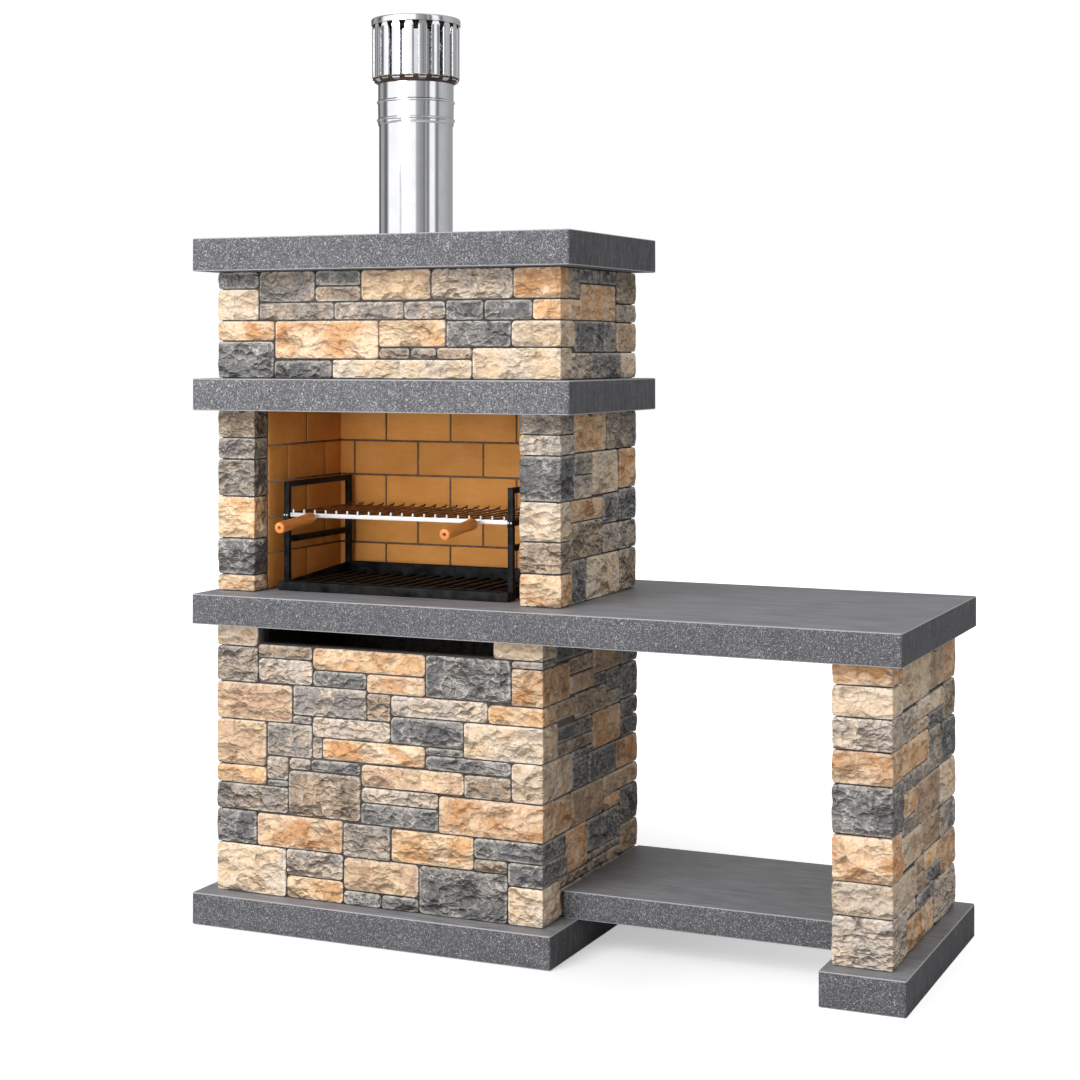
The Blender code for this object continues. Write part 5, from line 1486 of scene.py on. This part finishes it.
def raise_flue():
    """The polished pipe and the beaded sleeve on its top."""
    steps = settings().flue.steps
    radius = flue_plan()[1]
    low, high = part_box("flue_pipe")
    shape = Shape("polished")
    pipe = band(radius - PIPE_WALL, radius, low.z, high.z)
    turned(shape, pipe, flue_axis(), steps, "polished", closed=True)
    shape.piece("flue_pipe_shell", "barbecue", "bright_steel", ["flue_pipe"], sharp=40)
    low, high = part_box("cowl_sleeve")
    sleeve, bore = SLEEVE_RADIUS, radius + GAP
    profile = [(bore, low.z), (sleeve - 0.0004, low.z), (sleeve, low.z + 0.0006)]
    for bead in BEADS:
        middle = low.z + bead
        for angle in (-80, -50, -20, 10, 40, 70):
            turn = math.radians(angle)
            profile.append((sleeve + 0.0035 * math.cos(turn), middle + 0.0036 * math.sin(turn)))
        profile.append((sleeve, middle + 0.0048))
    profile += [(sleeve, high.z), (bore, high.z)]
    shape = Shape("polished")
    turned(shape, profile, flue_axis(), steps, "polished", closed=True)
    shape.piece("cowl_sleeve_shell", "barbecue", "bright_steel", ["cowl_sleeve"], sharp=40)


def folded_slat(shape, place, width, flange, sheet, bottom, top, finish):
    """An upright channel with its flanges folded inwards, seen from above as a flat U."""
    half, bend = width / 2, sheet * 1.2
    line = [(-half, flange), (-half, bend), (-half + bend * 0.3, bend * 0.3), (-half + bend, 0)]
    line += [(-x, y) for x, y in reversed(line)]
    soft = sheet * 0.4
    inner = [(-half + sheet, flange), (-half + sheet, bend + soft), (-half + bend + soft, sheet)]
    inner += [(-x, y) for x, y in reversed(inner)]
    outline = line + inner[::-1]
    rings = [[(x, y, z) for x, y in outline] for z in (bottom, (bottom + top) / 2, top)]
    loft(shape, [placed(ring, place) for ring in rings], finish)


def slat_plate(shape, place, rows, sheet, finish):
    """A flat slat from rows of half width, set-back and height."""
    rings = [
        [(-half, back, z), (half, back, z), (half, back + sheet, z), (-half, back + sheet, z)]
        for half, back, z in rows
    ]
    loft(shape, [placed(ring, place) for ring in rings], finish)


def slat_places(count, radius, offset=0.0):
    """The matrices of slats round the flue."""
    for index in range(count):
        turn = Matrix.Rotation(2 * math.pi * (index + offset) / count, 4, "Z")
        yield flue_axis() @ turn @ Matrix.Translation((0, -radius, 0))


def fit_cone_and_slats():
    """The cone, and the two rings of slats that stand in it."""
    s = settings().flue
    cone_low, cone_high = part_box("cowl_cone")
    outer_low, outer_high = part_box("cowl_outer_slats")
    inner_low, inner_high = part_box("cowl_inner_slats")
    radius = (cone_high.x - cone_low.x) / 2
    shape = Shape("scorched")
    profile = [
        (CONE_BORE, cone_low.z), (SLEEVE_RADIUS, cone_low.z), (radius, cone_high.z),
        (radius - CONE_RIM, cone_high.z),
    ]
    turned(shape, profile, flue_axis(), s.steps, "scorched", closed=True)
    shape.piece("cowl_cone_shell", "barbecue", "bright_steel", ["cowl_cone"], sharp=35)
    outer, inner = Shape("polished", "scorched"), Shape("polished", "scorched")
    foot, shoulder, tip = outer_low.z, outer_high.z - SHOULDER, cone_low.z + 0.004
    middle = (tip + foot) / 2
    fall = (radius - SLEEVE_RADIUS) * (cone_high.z - tip) / (cone_high.z - cone_low.z)
    neck = [
        (0.0119, 0.0001, shoulder - 0.004), (0.0119, 0.0001, shoulder),
        (0.008, 0.0001, shoulder + 0.010), (0.008, 0.0001, outer_high.z),
    ]
    skirt = [(0.0105, fall / 2 - 0.0022, middle), (0.0118, -0.0001, foot + 0.0045)]
    point = [(0.0070, fall - 0.0026, tip), (0.0105, fall / 2 - 0.0024, middle)]
    for index, place in enumerate(slat_places(s.slats, radius)):
        folded_slat(
            outer, place, CHANNEL_WIDTH, CHANNEL_FLANGE, s.sheet, foot + 0.0035, shoulder,
            "polished",
        )
        slat_plate(outer, place, neck, s.sheet, "polished")
        slat_plate(outer, place, skirt, s.sheet, "polished")
        slat_plate(outer, place, point, s.sheet, "scorched" if index % 2 else "polished")
    plain = [(0.011, 0, inner_low.z), (0.011, 0, inner_high.z - 0.003), (0.0095, 0, inner_high.z)]
    for place in slat_places(s.slats, INNER_RING, 0.5):
        slat_plate(inner, place, plain, s.sheet, "polished")
    for ring, profile in (
        (outer, band(radius - 0.0085, radius - 0.0005, foot, foot + 0.004)),
        (inner, band(0.100, 0.1033, inner_low.z, inner_low.z + 0.005)),
    ):
        turned(ring, profile, flue_axis(), s.steps, "scorched", closed=True)
    outer.piece("cowl_outer_ring", "barbecue", "bright_steel", ["cowl_outer_slats"], sharp=35)
    inner.piece("cowl_inner_ring", "barbecue", "bright_steel", ["cowl_inner_slats"], sharp=35)


def fit_cap():
    """The cap's rounded lid with its rim, and the scorched liner under it."""
    steps = settings().flue.steps
    low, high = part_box("cowl_cap")
    edge, under, crown = (high.x - low.x) / 2, low.z + CAP_RIM, high.z - 0.0085
    shape = Shape("polished", "scorched")
    profile = [
        (AXIS, under), (edge - 0.002, under), (edge - 0.002, low.z), (edge - 0.0012, low.z),
        (edge, low.z + 0.0012), (edge, crown),
    ]
    for angle in (20, 45, 70, 90):
        bend = math.radians(angle)
        profile.append((edge - 0.0035 * (1 - math.cos(bend)), crown + 0.0045 * math.sin(bend)))
    profile += [(edge * 0.7, high.z - 0.0022), (edge * 0.35, high.z - 0.0006), (AXIS, high.z)]
    turned(shape, profile, flue_axis(), steps, "polished")
    liner = edge - 0.0021
    rim = band(liner - 0.001, liner, low.z + 0.0006, under - 0.0002)
    turned(shape, rim, flue_axis(), steps, "scorched", closed=True)
    plate = disc(edge - 0.0062, under - 0.0012, under - 0.0002)
    turned(shape, plate, flue_axis(), steps, "scorched")
    shape.piece("cowl_cap_shell", "barbecue", "bright_steel", ["cowl_cap"], sharp=40)


# Carrier, tray and coal grate

TUBE = 0.015
# The rungs' middles over the counter, and the ledges that the grill slides on
LOW_RUNG, GRILL_RUNG = 0.136, 0.201
LEDGE, LEDGE_LAP, LEDGE_SHEET = 0.007, 0.002, 0.003
FRONT_RAIL = 0.022
TRAY_SHEET, TRAY_FRONT, TRAY_BEAD, SHEET_EDGE = 0.002, 0.026, 0.0016, 0.0006
COAL_BARS, COAL_BAR, CROSS_BAR = 17, 0.004, 0.012


def counter_top():
    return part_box("counter_slab")[1].z


def bolt(shape, centre, axis, radius, thick, finish):
    """A small round-headed bolt that stands out along an axis."""
    place = Matrix.Translation(centre) @ Vector(axis).to_track_quat("Z", "Y").to_matrix().to_4x4()
    profile = [
        (radius, 0), (radius, thick * 0.45), (radius * 0.85, thick * 0.75),
        (radius * 0.5, thick * 0.97), (AXIS, thick),
    ]
    turned(shape, profile, place, 16, finish)


def weld_carrier_side(side, inward):
    """A side frame: two posts, a top tube and two rungs, with their ledges, plate and bolts."""
    edge = settings().iron.edge
    node = f"carrier_{side}_frame"
    low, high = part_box(node)
    shape = Shape("painted", "bright")
    x0, x1 = (low.x, low.x + TUBE) if inward > 0 else (high.x - TUBE, high.x)
    inner = x1 if inward > 0 else x0
    for y in (low.y, high.y - TUBE):
        block(shape, (x0, y, low.z), (x1, y + TUBE, high.z), edge, "painted")
    y0, y1 = low.y + TUBE - 0.001, high.y - TUBE + 0.001
    rungs = [counter_top() + rung + TUBE / 2 for rung in (LOW_RUNG, GRILL_RUNG)]
    for top in (high.z - GAP, *rungs):
        block(shape, (x0 + GAP, y0, top - TUBE), (x1 - GAP, y1, top), edge, "painted")
    near, far = sorted((inner - inward * LEDGE_LAP, inner + inward * LEDGE))
    for top in rungs:
        bottom = top - TUBE + GAP
        ledge_top = bottom + LEDGE_SHEET
        block(shape, (near, y0, bottom), (far, y1, ledge_top), SHEET_EDGE, "painted")
    front, level = low.y, rungs[1] - TUBE / 2
    plate_low = (x0, front - 0.0028, level - 0.010)
    block(shape, plate_low, (x1, front + 0.001, level + 0.010), 0.0007, "painted")
    for x in (x0 + 0.0035, x1 - 0.0035):
        bolt(shape, (x, front - 0.0026, level + 0.001), (0, -1, 0), 0.0026, 0.0018, "bright")
    for y in (low.y + TUBE / 2, high.y - TUBE / 2):
        bolt(shape, (inner, y, rungs[0] - TUBE / 2), (inward, 0, 0), 0.003, 0.0022, "painted")
    shape.piece(
        f"carrier_{side}_side", "barbecue", "black_steel", [node], sharp=40, outward=True
    )


def weld_carrier():
    """The black carrier: two side frames with their rungs, and the front and rear rails."""
    weld_carrier_side("left", 1)
    weld_carrier_side("right", -1)
    low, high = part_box("carrier_front_rail")
    shape = Shape("painted")
    back = low.y + FRONT_RAIL
    block(shape, (low.x + 0.012, low.y, low.z), (high.x - 0.012, back, high.z), 0.003, "painted")
    for x0, x1 in ((low.x, low.x + TUBE + 0.003), (high.x - TUBE - 0.003, high.x)):
        block(shape, (x0, low.y, low.z), (x1, high.y, high.z), 0.004, "painted")
    lip = (low.x + 0.020, low.y + 0.004, high.z - 0.001)
    block(shape, lip, (high.x - 0.020, back - 0.004, high.z), 0.0004, "painted")
    shape.piece(
        "carrier_front_bar", "barbecue", "black_steel", ["carrier_front_rail"], sharp=40,
        outward=True,
    )
    shape = Shape("painted")
    block(shape, *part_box("carrier_rear_rail"), settings().iron.edge, "painted")
    shape.piece(
        "carrier_rear_bar", "barbecue", "black_steel", ["carrier_rear_rail"], sharp=40,
        outward=True,
    )


def fold_tray():
    """The lift-out coal tray, with a low front, a high rear and rolled rims."""
    low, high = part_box("coal_tray")
    front_top = counter_top() + TRAY_FRONT
    shape = Shape("painted")

    def slope(corner):
        if corner.z > low.z + 0.01 and corner.y < (low.y + high.y) / 2:
            corner.z = front_top

    for start, end, taper in (
        (low, (high.x, high.y, low.z + TRAY_SHEET), None),
        (low, (high.x, low.y + TRAY_SHEET, front_top), None),
        ((low.x, high.y - TRAY_SHEET, low.z), high, None),
        (low, (low.x + TRAY_SHEET, high.y, high.z), slope),
        ((high.x - TRAY_SHEET, low.y, low.z), high, slope),
    ):
        block(shape, start, end, SHEET_EDGE, "painted", taper)
    x0, x1, y0, y1 = low.x + TRAY_BEAD, high.x - TRAY_BEAD, low.y + TRAY_BEAD, high.y - TRAY_BEAD
    front, rear = front_top - TRAY_BEAD, high.z - TRAY_BEAD
    rim = [(x0, y0, front), (x1, y0, front), (x1, y1, rear), (x0, y1, rear)]
    for start, end in zip(rim, rim[1:] + rim[:1]):
        rod(shape, [start, end], TRAY_BEAD, "painted", 8)
    shape.piece("coal_tray_pan", "tray", "black_steel", ["coal_tray"], sharp=40, outward=True)


def lay_coal_grate():
    """Bars on two cross bars, with a lifting loop at the rear left."""
    low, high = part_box("coal_grate")
    shape = Shape("bars", "painted")
    radius = COAL_BAR
    cross_top = low.z + CROSS_BAR
    for part in (0.2, 0.8):
        y = low.y + (high.y - low.y) * part
        block(shape, (low.x, y - radius, low.z), (high.x, y + radius, cross_top), 0.001, "bars")
    height = cross_top + radius / 2
    spacing = (high.x - low.x - 2 * radius) / (COAL_BARS - 1)
    y0, y1 = low.y + radius * 0.4, high.y - radius * 0.4
    for index in range(COAL_BARS):
        x = low.x + radius + spacing * index
        rod(shape, [(x, y, height) for y in (y0, (y0 + y1) / 2, y1)], radius, "bars", 12)
    left, y, lift, bend = low.x + radius + spacing, high.y - 0.030, 0.015, 0.004
    loop = [
        (left, y, height), (left, y, height + lift - bend), (left + bend, y, height + lift),
        (left + spacing - bend, y, height + lift), (left + spacing, y, height + lift - bend),
        (left + spacing, y, height),
    ]
    rod(shape, loop, radius / 2, "painted", 10)
    shape.piece("coal_grate_bars", "grate", "black_steel", ["coal_grate"], sharp=45, outward=True)


# Grill and grips

GRILL_ROD, GRILL_BAR, GRILL_SHEET, GRILL_RODS = 0.0025, 0.011, 0.005, 20
# How far the grill lies behind the carrier's front, and before the middles of its rear posts
GRILL_FRONT, GRILL_REAR = 0.005, 0.012
# Fall of the handles in degrees, and their height over the grill's underside
HANDLE_SLOPE, HANDLE_HEIGHT = 5, 0.0055
GRIP_START, GRIP_LENGTH, GRIP_RADIUS, GRIP_WAIST, GRIP_BORE = 0.0343, 0.168, 0.0152, 0.0138, 0.0045
# A grip's outline from the ferrule: share of its length, and of its radius
GRIP_OUTLINE = [
    (0.0, 0.70), (0.006, 0.80), (0.016, 0.90), (0.035, 0.975), (0.07, 1.0), (0.12, 1.0),
    (0.18, 0.97), (0.26, 0.925), (0.35, GRIP_WAIST / GRIP_RADIUS), (0.45, 0.905),
    (0.55, GRIP_WAIST / GRIP_RADIUS), (0.66, 0.93), (0.76, 0.965), (0.84, 0.99), (0.90, 1.0),
    (0.945, 0.995), (0.975, 0.97), (0.992, 0.91), (1.0, 0.80),
]


def weld_grill():
    """The cooking grill: a bright front bar and browned rods with turned-up ends."""
    low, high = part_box("cooking_grill")
    shape = Shape("bright", "rods")
    radius, sheet = GRILL_ROD, GRILL_SHEET
    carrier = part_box("carrier_left_frame")
    front = carrier[0].y + GRILL_FRONT
    rear = carrier[1].y - TUBE / 2 - GRILL_REAR
    top = low.z + GRILL_BAR
    block(shape, (low.x, front, low.z), (high.x, front + sheet, top), 0.0012, "bright")
    left, right = low.x + sheet, high.x - sheet
    for x in (low.x, right):
        block(shape, (x, front + sheet, low.z), (x + sheet, rear, top - GAP), 0.001, "rods")
    block(shape, (left, rear - sheet, low.z + GAP), (right, rear - GAP, top), 0.001, "rods")
    for part in (0.35, 0.7):
        y = front + (rear - front) * part
        block(shape, (left, y, low.z + 0.004), (right, y + 0.006, top - GAP), 0.001, "rods")
    height = top + radius / 2
    start, end = low.x + 2 * sheet, high.x - 2 * sheet
    nose, tip = front + radius * 0.4, height + 0.0075
    draw = random.Random(5)
    for index in range(GRILL_RODS):
        x = start + (end - start) * index / (GRILL_RODS - 1)
        leaning = x + draw.uniform(-0.0008, 0.0008)
        path = [
            (leaning, nose, height + 0.002), (x, front + radius, height),
            (x, front + 0.02, height), (x, (front + rear) / 2, height - 0.0004),
            (x, rear - 0.030, height), (x, rear - 0.016, height + 0.0035),
            (x, rear - 0.008, height + 0.001), (leaning, rear + radius * 0.6, height + 0.006),
        ]
        rod(shape, path, radius, "rods", 10)
        path = [(leaning, nose, top - 0.001), (leaning, front + radius * 0.2, tip)]
        rod(shape, path, radius * 1.15, "bright", 10)
    shape.piece(
        "cooking_grill_rods", "grill", "grill_steel", ["cooking_grill"], sharp=45, outward=True
    )


def handle_place(side):
    """The handle's own frame, which runs along its Z away from the grill."""
    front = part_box("carrier_left_frame")[0].y + GRILL_FRONT
    low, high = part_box(f"{side}_grip")
    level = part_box("cooking_grill")[0].z + HANDLE_HEIGHT
    root = Vector(((low.x + high.x) / 2, front, level))
    slope = math.radians(HANDLE_SLOPE)
    direction = Vector((0, -math.cos(slope), -math.sin(slope)))
    return Matrix.Translation(root) @ direction.to_track_quat("Z", "Y").to_matrix().to_4x4()


def turn_ferrule(side):
    """The rod's root and the ringed ferrule that the wooden grip stands in."""
    place = handle_place(side)
    shape = Shape("bright")
    turned(shape, disc(0.004, 0.0009, 0.030), place, 20, "bright")
    profile = [(AXIS, 0.0218), (0.0062, 0.0218)]
    for ring in range(5):
        z, wider = 0.0226 + ring * 0.0023, ring * 0.0002
        profile += [(0.0078 + wider, z), (0.0092, z + 0.0009), (0.0082 + wider, z + 0.0018)]
    profile += [(0.0084, 0.0342), (AXIS, 0.0342)]
    turned(shape, profile, place, 28, "bright")
    shape.piece(
        f"{side}_handle_ferrule", "grill", "bright_steel", [f"{side}_handle_rod"], sharp=40,
        outward=True,
    )


def turn_grip(side):
    """A turned wooden grip, with the rod's hole at its root and a blind hole in its end."""
    shape = Shape("wood")
    end = GRIP_START + GRIP_LENGTH
    profile = [(AXIS, GRIP_START + 0.0005), (0.0041, GRIP_START)]
    for part, wide in GRIP_OUTLINE:
        profile.append((GRIP_RADIUS * wide, GRIP_START + GRIP_LENGTH * part))
    profile += [
        (GRIP_BORE * 1.15, end), (GRIP_BORE * 0.95, end - 0.0012), (GRIP_BORE * 0.9, end - 0.022),
        (AXIS, end - 0.022),
    ]
    turned(shape, profile, handle_place(side), settings().grip.steps, "wood")
    shape.piece(
        f"{side}_wooden_grip", "grill", "turned_wood", [f"{side}_grip"], sharp=50, outward=True
    )


# Stage

WHITE = (1.0, 1.0, 1.0, 1.0)
MIRROR_LIGHT = 1.35
FLOOR_REACH, FLOOR_DROP = 9.0, 0.0005
LAMP_TARGET = (0.6, 0.3, 1.1)
# Place of each lamp, and its width and height
KEY_LAMP = ((-0.8, -4.6, 3.9), (3.0, 2.8))
FILL_LAMP = ((0.1, -6.0, 1.3), (2.4, 1.6))
SENSOR_WIDTH = 36.0
# Light across the flue from its left edge to its right one, as it shows in the mirror
FLUE_BANDS = (
    (0.001, 0.09), (0.02, 0.10), (0.035, 0.34), (0.055, 0.36), (0.075, 0.22), (0.09, 0.12),
    (0.105, 0.13), (0.12, 0.36), (0.14, 1.0), (0.275, 1.0), (0.285, 0.60), (0.30, 0.60),
    (0.31, 1.0), (0.49, 1.0), (0.505, 0.44), (0.55, 0.32), (0.60, 0.24), (0.61, 0.13),
    (0.635, 0.42), (0.655, 0.20), (0.665, 0.14), (0.68, 0.45), (0.69, 0.95), (0.745, 0.95),
    (0.76, 0.42), (0.775, 0.18), (0.79, 0.20), (0.81, 0.42), (0.84, 0.46), (0.90, 0.40),
    (0.94, 0.33), (0.999, 0.27),
)


def area_lamp(name, place, size, power):
    data = bpy.data.lights.new(name, "AREA")
    data.shape = "RECTANGLE"
    data.size, data.size_y = size
    data.energy = power
    lamp = bpy.data.objects.new(name, data)
    bpy.context.scene.collection.objects.link(lamp)
    lamp.location = place
    facing = Vector(LAMP_TARGET) - Vector(place)
    lamp.rotation_euler = facing.to_track_quat("-Z", "Y").to_euler()


def studio_sky():
    """White to the camera, and white with upright dark strips to shiny surfaces."""
    s = settings().stage
    world = bpy.data.worlds.new("studio")
    bpy.context.scene.world = world
    world.use_nodes = True
    world.node_tree.nodes.clear()
    tree = Tree(world.node_tree)
    rays = tree.node("ShaderNodeLightPath").outputs
    direction = tree.add("ShaderNodeTexCoord", out="Generated")
    bearing = tree.math("ARCTAN2", tree.axis(direction, 0), tree.axis(direction, 1))
    strips = tree.node("ShaderNodeValToRGB", {0: tree.span(bearing, -math.pi, math.pi)})
    to_camera = Vector(s.place) - Vector((*flue_plan()[0], 0))
    facing = math.atan2(to_camera.x, to_camera.y)
    found = []
    for across, level in FLUE_BANDS:
        turn = facing - 2 * math.asin(2 * across - 1)
        found.append(((turn / (2 * math.pi) + 0.5) % 1, level))
    found.sort()
    ramp = strips.color_ramp
    ramp.elements.remove(ramp.elements[-1])
    for index, (place, level) in enumerate(found):
        element = ramp.elements[0] if index == 0 else ramp.elements.new(place)
        element.position = place
        element.color = (level, level, level, 1.0)
    soft = tree.add("ShaderNodeBackground", {0: WHITE, 1: s.sky})
    mirror = tree.add("ShaderNodeBackground", {0: strips.outputs[0], 1: MIRROR_LIGHT})
    white = tree.add("ShaderNodeBackground", {0: WHITE, 1: 1.0})
    glossy = tree.add("ShaderNodeMixShader", {0: rays["Is Glossy Ray"], 1: soft, 2: mirror})
    seen = tree.add("ShaderNodeMixShader", {0: rays["Is Camera Ray"], 1: glossy, 2: white})
    tree.node("ShaderNodeOutputWorld", {"Surface": seen})


def lay_floor():
    """A pale floor that whitens away from the barbecue, as the camera sees it."""
    s = settings().stage
    mesh = bpy.data.meshes.new("floor")
    corners = [(-1, -1), (1, -1), (1, 1), (-1, 1)]
    corners = [(x * FLOOR_REACH, y * FLOOR_REACH, 0) for x, y in corners]
    mesh.from_pydata(corners, [], [(0, 1, 2, 3)])
    floor = bpy.data.objects.new("floor", mesh)
    bpy.context.scene.collection.objects.link(floor)
    floor.location.z = -FLOOR_DROP
    values = {"Roughness": 0.9, "Emission Color": WHITE}
    material, tree, shader = new_material("pale floor", values)
    cloud = tree.span(tree.noise(tree.place(), 1.5, 2.0), 0.3, 0.7)
    away = tree.add("ShaderNodeVectorMath", {0: tree.place()}, 1, operation="LENGTH")
    rays = tree.node("ShaderNodeLightPath").outputs
    glow = tree.times(rays["Is Camera Ray"], tree.span(away, 1.2, 2.8, s.glow, 1.0))
    body = tree.mix(cloud, opaque(s.ground), darkened(s.ground, 0.01))
    tree.give(shader, {"Base Color": body, "Emission Strength": glow})
    mesh.materials.append(material)


def set_stage():
    """Floor, lamps, sky and camera."""
    s = settings().stage
    scene = bpy.context.scene
    scene.view_settings.view_transform = "Standard"
    lay_floor()
    studio_sky()
    area_lamp("key lamp", *KEY_LAMP, s.key)
    area_lamp("fill lamp", *FILL_LAMP, s.fill)
    camera_data = bpy.data.cameras.new("camera")
    camera_data.lens = s.focal
    camera_data.sensor_width = SENSOR_WIDTH
    camera_data.shift_y = s.shift
    camera = bpy.data.objects.new("camera", camera_data)
    scene.collection.objects.link(camera)
    camera.location = s.place
    camera.rotation_euler = (math.pi / 2, 0, s.turn)
    scene.camera = camera


# Operators, in the order of the work


class CastSlabs(bpy.types.Operator):
    """Cast the six slabs"""

    bl_idname = "barbecue.cast_slabs"
    bl_label = "Cast slabs"

    def execute(self, context):
        cast_slabs()
        return {"FINISHED"}


class LayLowerBody(bpy.types.Operator):
    """Lay the stones under the counter"""

    bl_idname = "barbecue.lay_lower_body"
    bl_label = "Lay lower body"

    def execute(self, context):
        lay_lower_body()
        return {"FINISHED"}


class LayFirebox(bpy.types.Operator):
    """Lay the stones round the firebox"""

    bl_idname = "barbecue.lay_firebox"
    bl_label = "Lay firebox stones"

    def execute(self, context):
        lay_firebox()
        return {"FINISHED"}


class LayHood(bpy.types.Operator):
    """Lay the stones of the hood"""

    bl_idname = "barbecue.lay_hood"
    bl_label = "Lay hood"

    def execute(self, context):
        lay_hood()
        return {"FINISHED"}


class LayTablePier(bpy.types.Operator):
    """Lay the pier under the side table"""

    bl_idname = "barbecue.lay_table_pier"
    bl_label = "Lay table pier"

    def execute(self, context):
        lay_table_pier()
        return {"FINISHED"}


class LineFirebox(bpy.types.Operator):
    """Line the firebox with bricks"""

    bl_idname = "barbecue.line_firebox"
    bl_label = "Line firebox"

    def execute(self, context):
        line_firebox()
        return {"FINISHED"}


class RaiseFlue(bpy.types.Operator):
    """Raise the flue pipe and its sleeve"""

    bl_idname = "barbecue.raise_flue"
    bl_label = "Raise flue"

    def execute(self, context):
        raise_flue()
        return {"FINISHED"}


class FitCowl(bpy.types.Operator):
    """Fit the slatted cowl"""

    bl_idname = "barbecue.fit_cowl"
    bl_label = "Fit cowl"

    def execute(self, context):
        fit_cone_and_slats()
        fit_cap()
        return {"FINISHED"}


class WeldCarrier(bpy.types.Operator):
    """Weld the carrier that holds the grill"""

    bl_idname = "barbecue.weld_carrier"
    bl_label = "Weld carrier"

    def execute(self, context):
        weld_carrier()
        return {"FINISHED"}


class FoldTray(bpy.types.Operator):
    """Fold the coal tray"""

    bl_idname = "barbecue.fold_tray"
    bl_label = "Fold coal tray"

    def execute(self, context):
        fold_tray()
        return {"FINISHED"}


class LayCoalGrate(bpy.types.Operator):
    """Lay the grate in the coal tray"""

    bl_idname = "barbecue.lay_coal_grate"
    bl_label = "Lay coal grate"

    def execute(self, context):
        lay_coal_grate()
        return {"FINISHED"}


class WeldGrill(bpy.types.Operator):
    """Weld the cooking grill"""

    bl_idname = "barbecue.weld_grill"
    bl_label = "Weld grill"

    def execute(self, context):
        weld_grill()
        return {"FINISHED"}


class TurnGrips(bpy.types.Operator):
    """Turn the wooden grips and fit their rods"""

    bl_idname = "barbecue.turn_grips"
    bl_label = "Turn grips"

    def execute(self, context):
        for side in ("left", "right"):
            turn_ferrule(side)
            turn_grip(side)
        return {"FINISHED"}


class SetStage(bpy.types.Operator):
    """Set the floor, the lamps and the camera"""

    bl_idname = "barbecue.set_stage"
    bl_label = "Set stage"

    def execute(self, context):
        set_stage()
        return {"FINISHED"}


OPERATORS = (
    CastSlabs, LayLowerBody, LayFirebox, LayHood, LayTablePier, LineFirebox, RaiseFlue, FitCowl,
    WeldCarrier, FoldTray, LayCoalGrate, WeldGrill, TurnGrips, SetStage,
)


class BarbecuePanel(bpy.types.Panel):
    """Lists the pieces and their settings"""

    bl_idname = "VIEW3D_PT_barbecue"
    bl_label = "Garden Barbecue"
    bl_space_type = "VIEW_3D"
    bl_region_type = "UI"
    bl_category = "Barbecue"

    def draw(self, context):
        for operator in OPERATORS:
            self.layout.operator(operator.bl_idname)
        chosen = context.scene.barbecue
        for group in ("stone", "slab", "brick", "flue", "iron", "grip", "stage"):
            box = self.layout.box()
            part = getattr(chosen, group)
            box.label(text=group.capitalize())
            for name in part.__annotations__:
                box.prop(part, name)


CLASSES = (
    StoneSettings, SlabSettings, BrickSettings, FlueSettings, IronSettings, GripSettings,
    StageSettings, BarbecueSettings, *OPERATORS, BarbecuePanel,
)


def register():
    for cls in CLASSES:
        bpy.utils.register_class(cls)
    bpy.types.Scene.barbecue = PointerProperty(type=BarbecueSettings)


def unregister():
    del bpy.types.Scene.barbecue
    for cls in reversed(CLASSES):
        bpy.utils.unregister_class(cls)


def main():
    register()
    bpy.ops.barbecue.set_stage()
    bpy.ops.barbecue.cast_slabs()
    bpy.ops.barbecue.lay_lower_body()
    bpy.ops.barbecue.lay_firebox()
    bpy.ops.barbecue.lay_hood()
    bpy.ops.barbecue.lay_table_pier()
    bpy.ops.barbecue.line_firebox()
    bpy.ops.barbecue.raise_flue()
    bpy.ops.barbecue.fit_cowl()
    bpy.ops.barbecue.weld_carrier()
    bpy.ops.barbecue.fold_tray()
    bpy.ops.barbecue.lay_coal_grate()
    bpy.ops.barbecue.weld_grill()
    bpy.ops.barbecue.turn_grips()


if __name__ == "__main__":
    main()
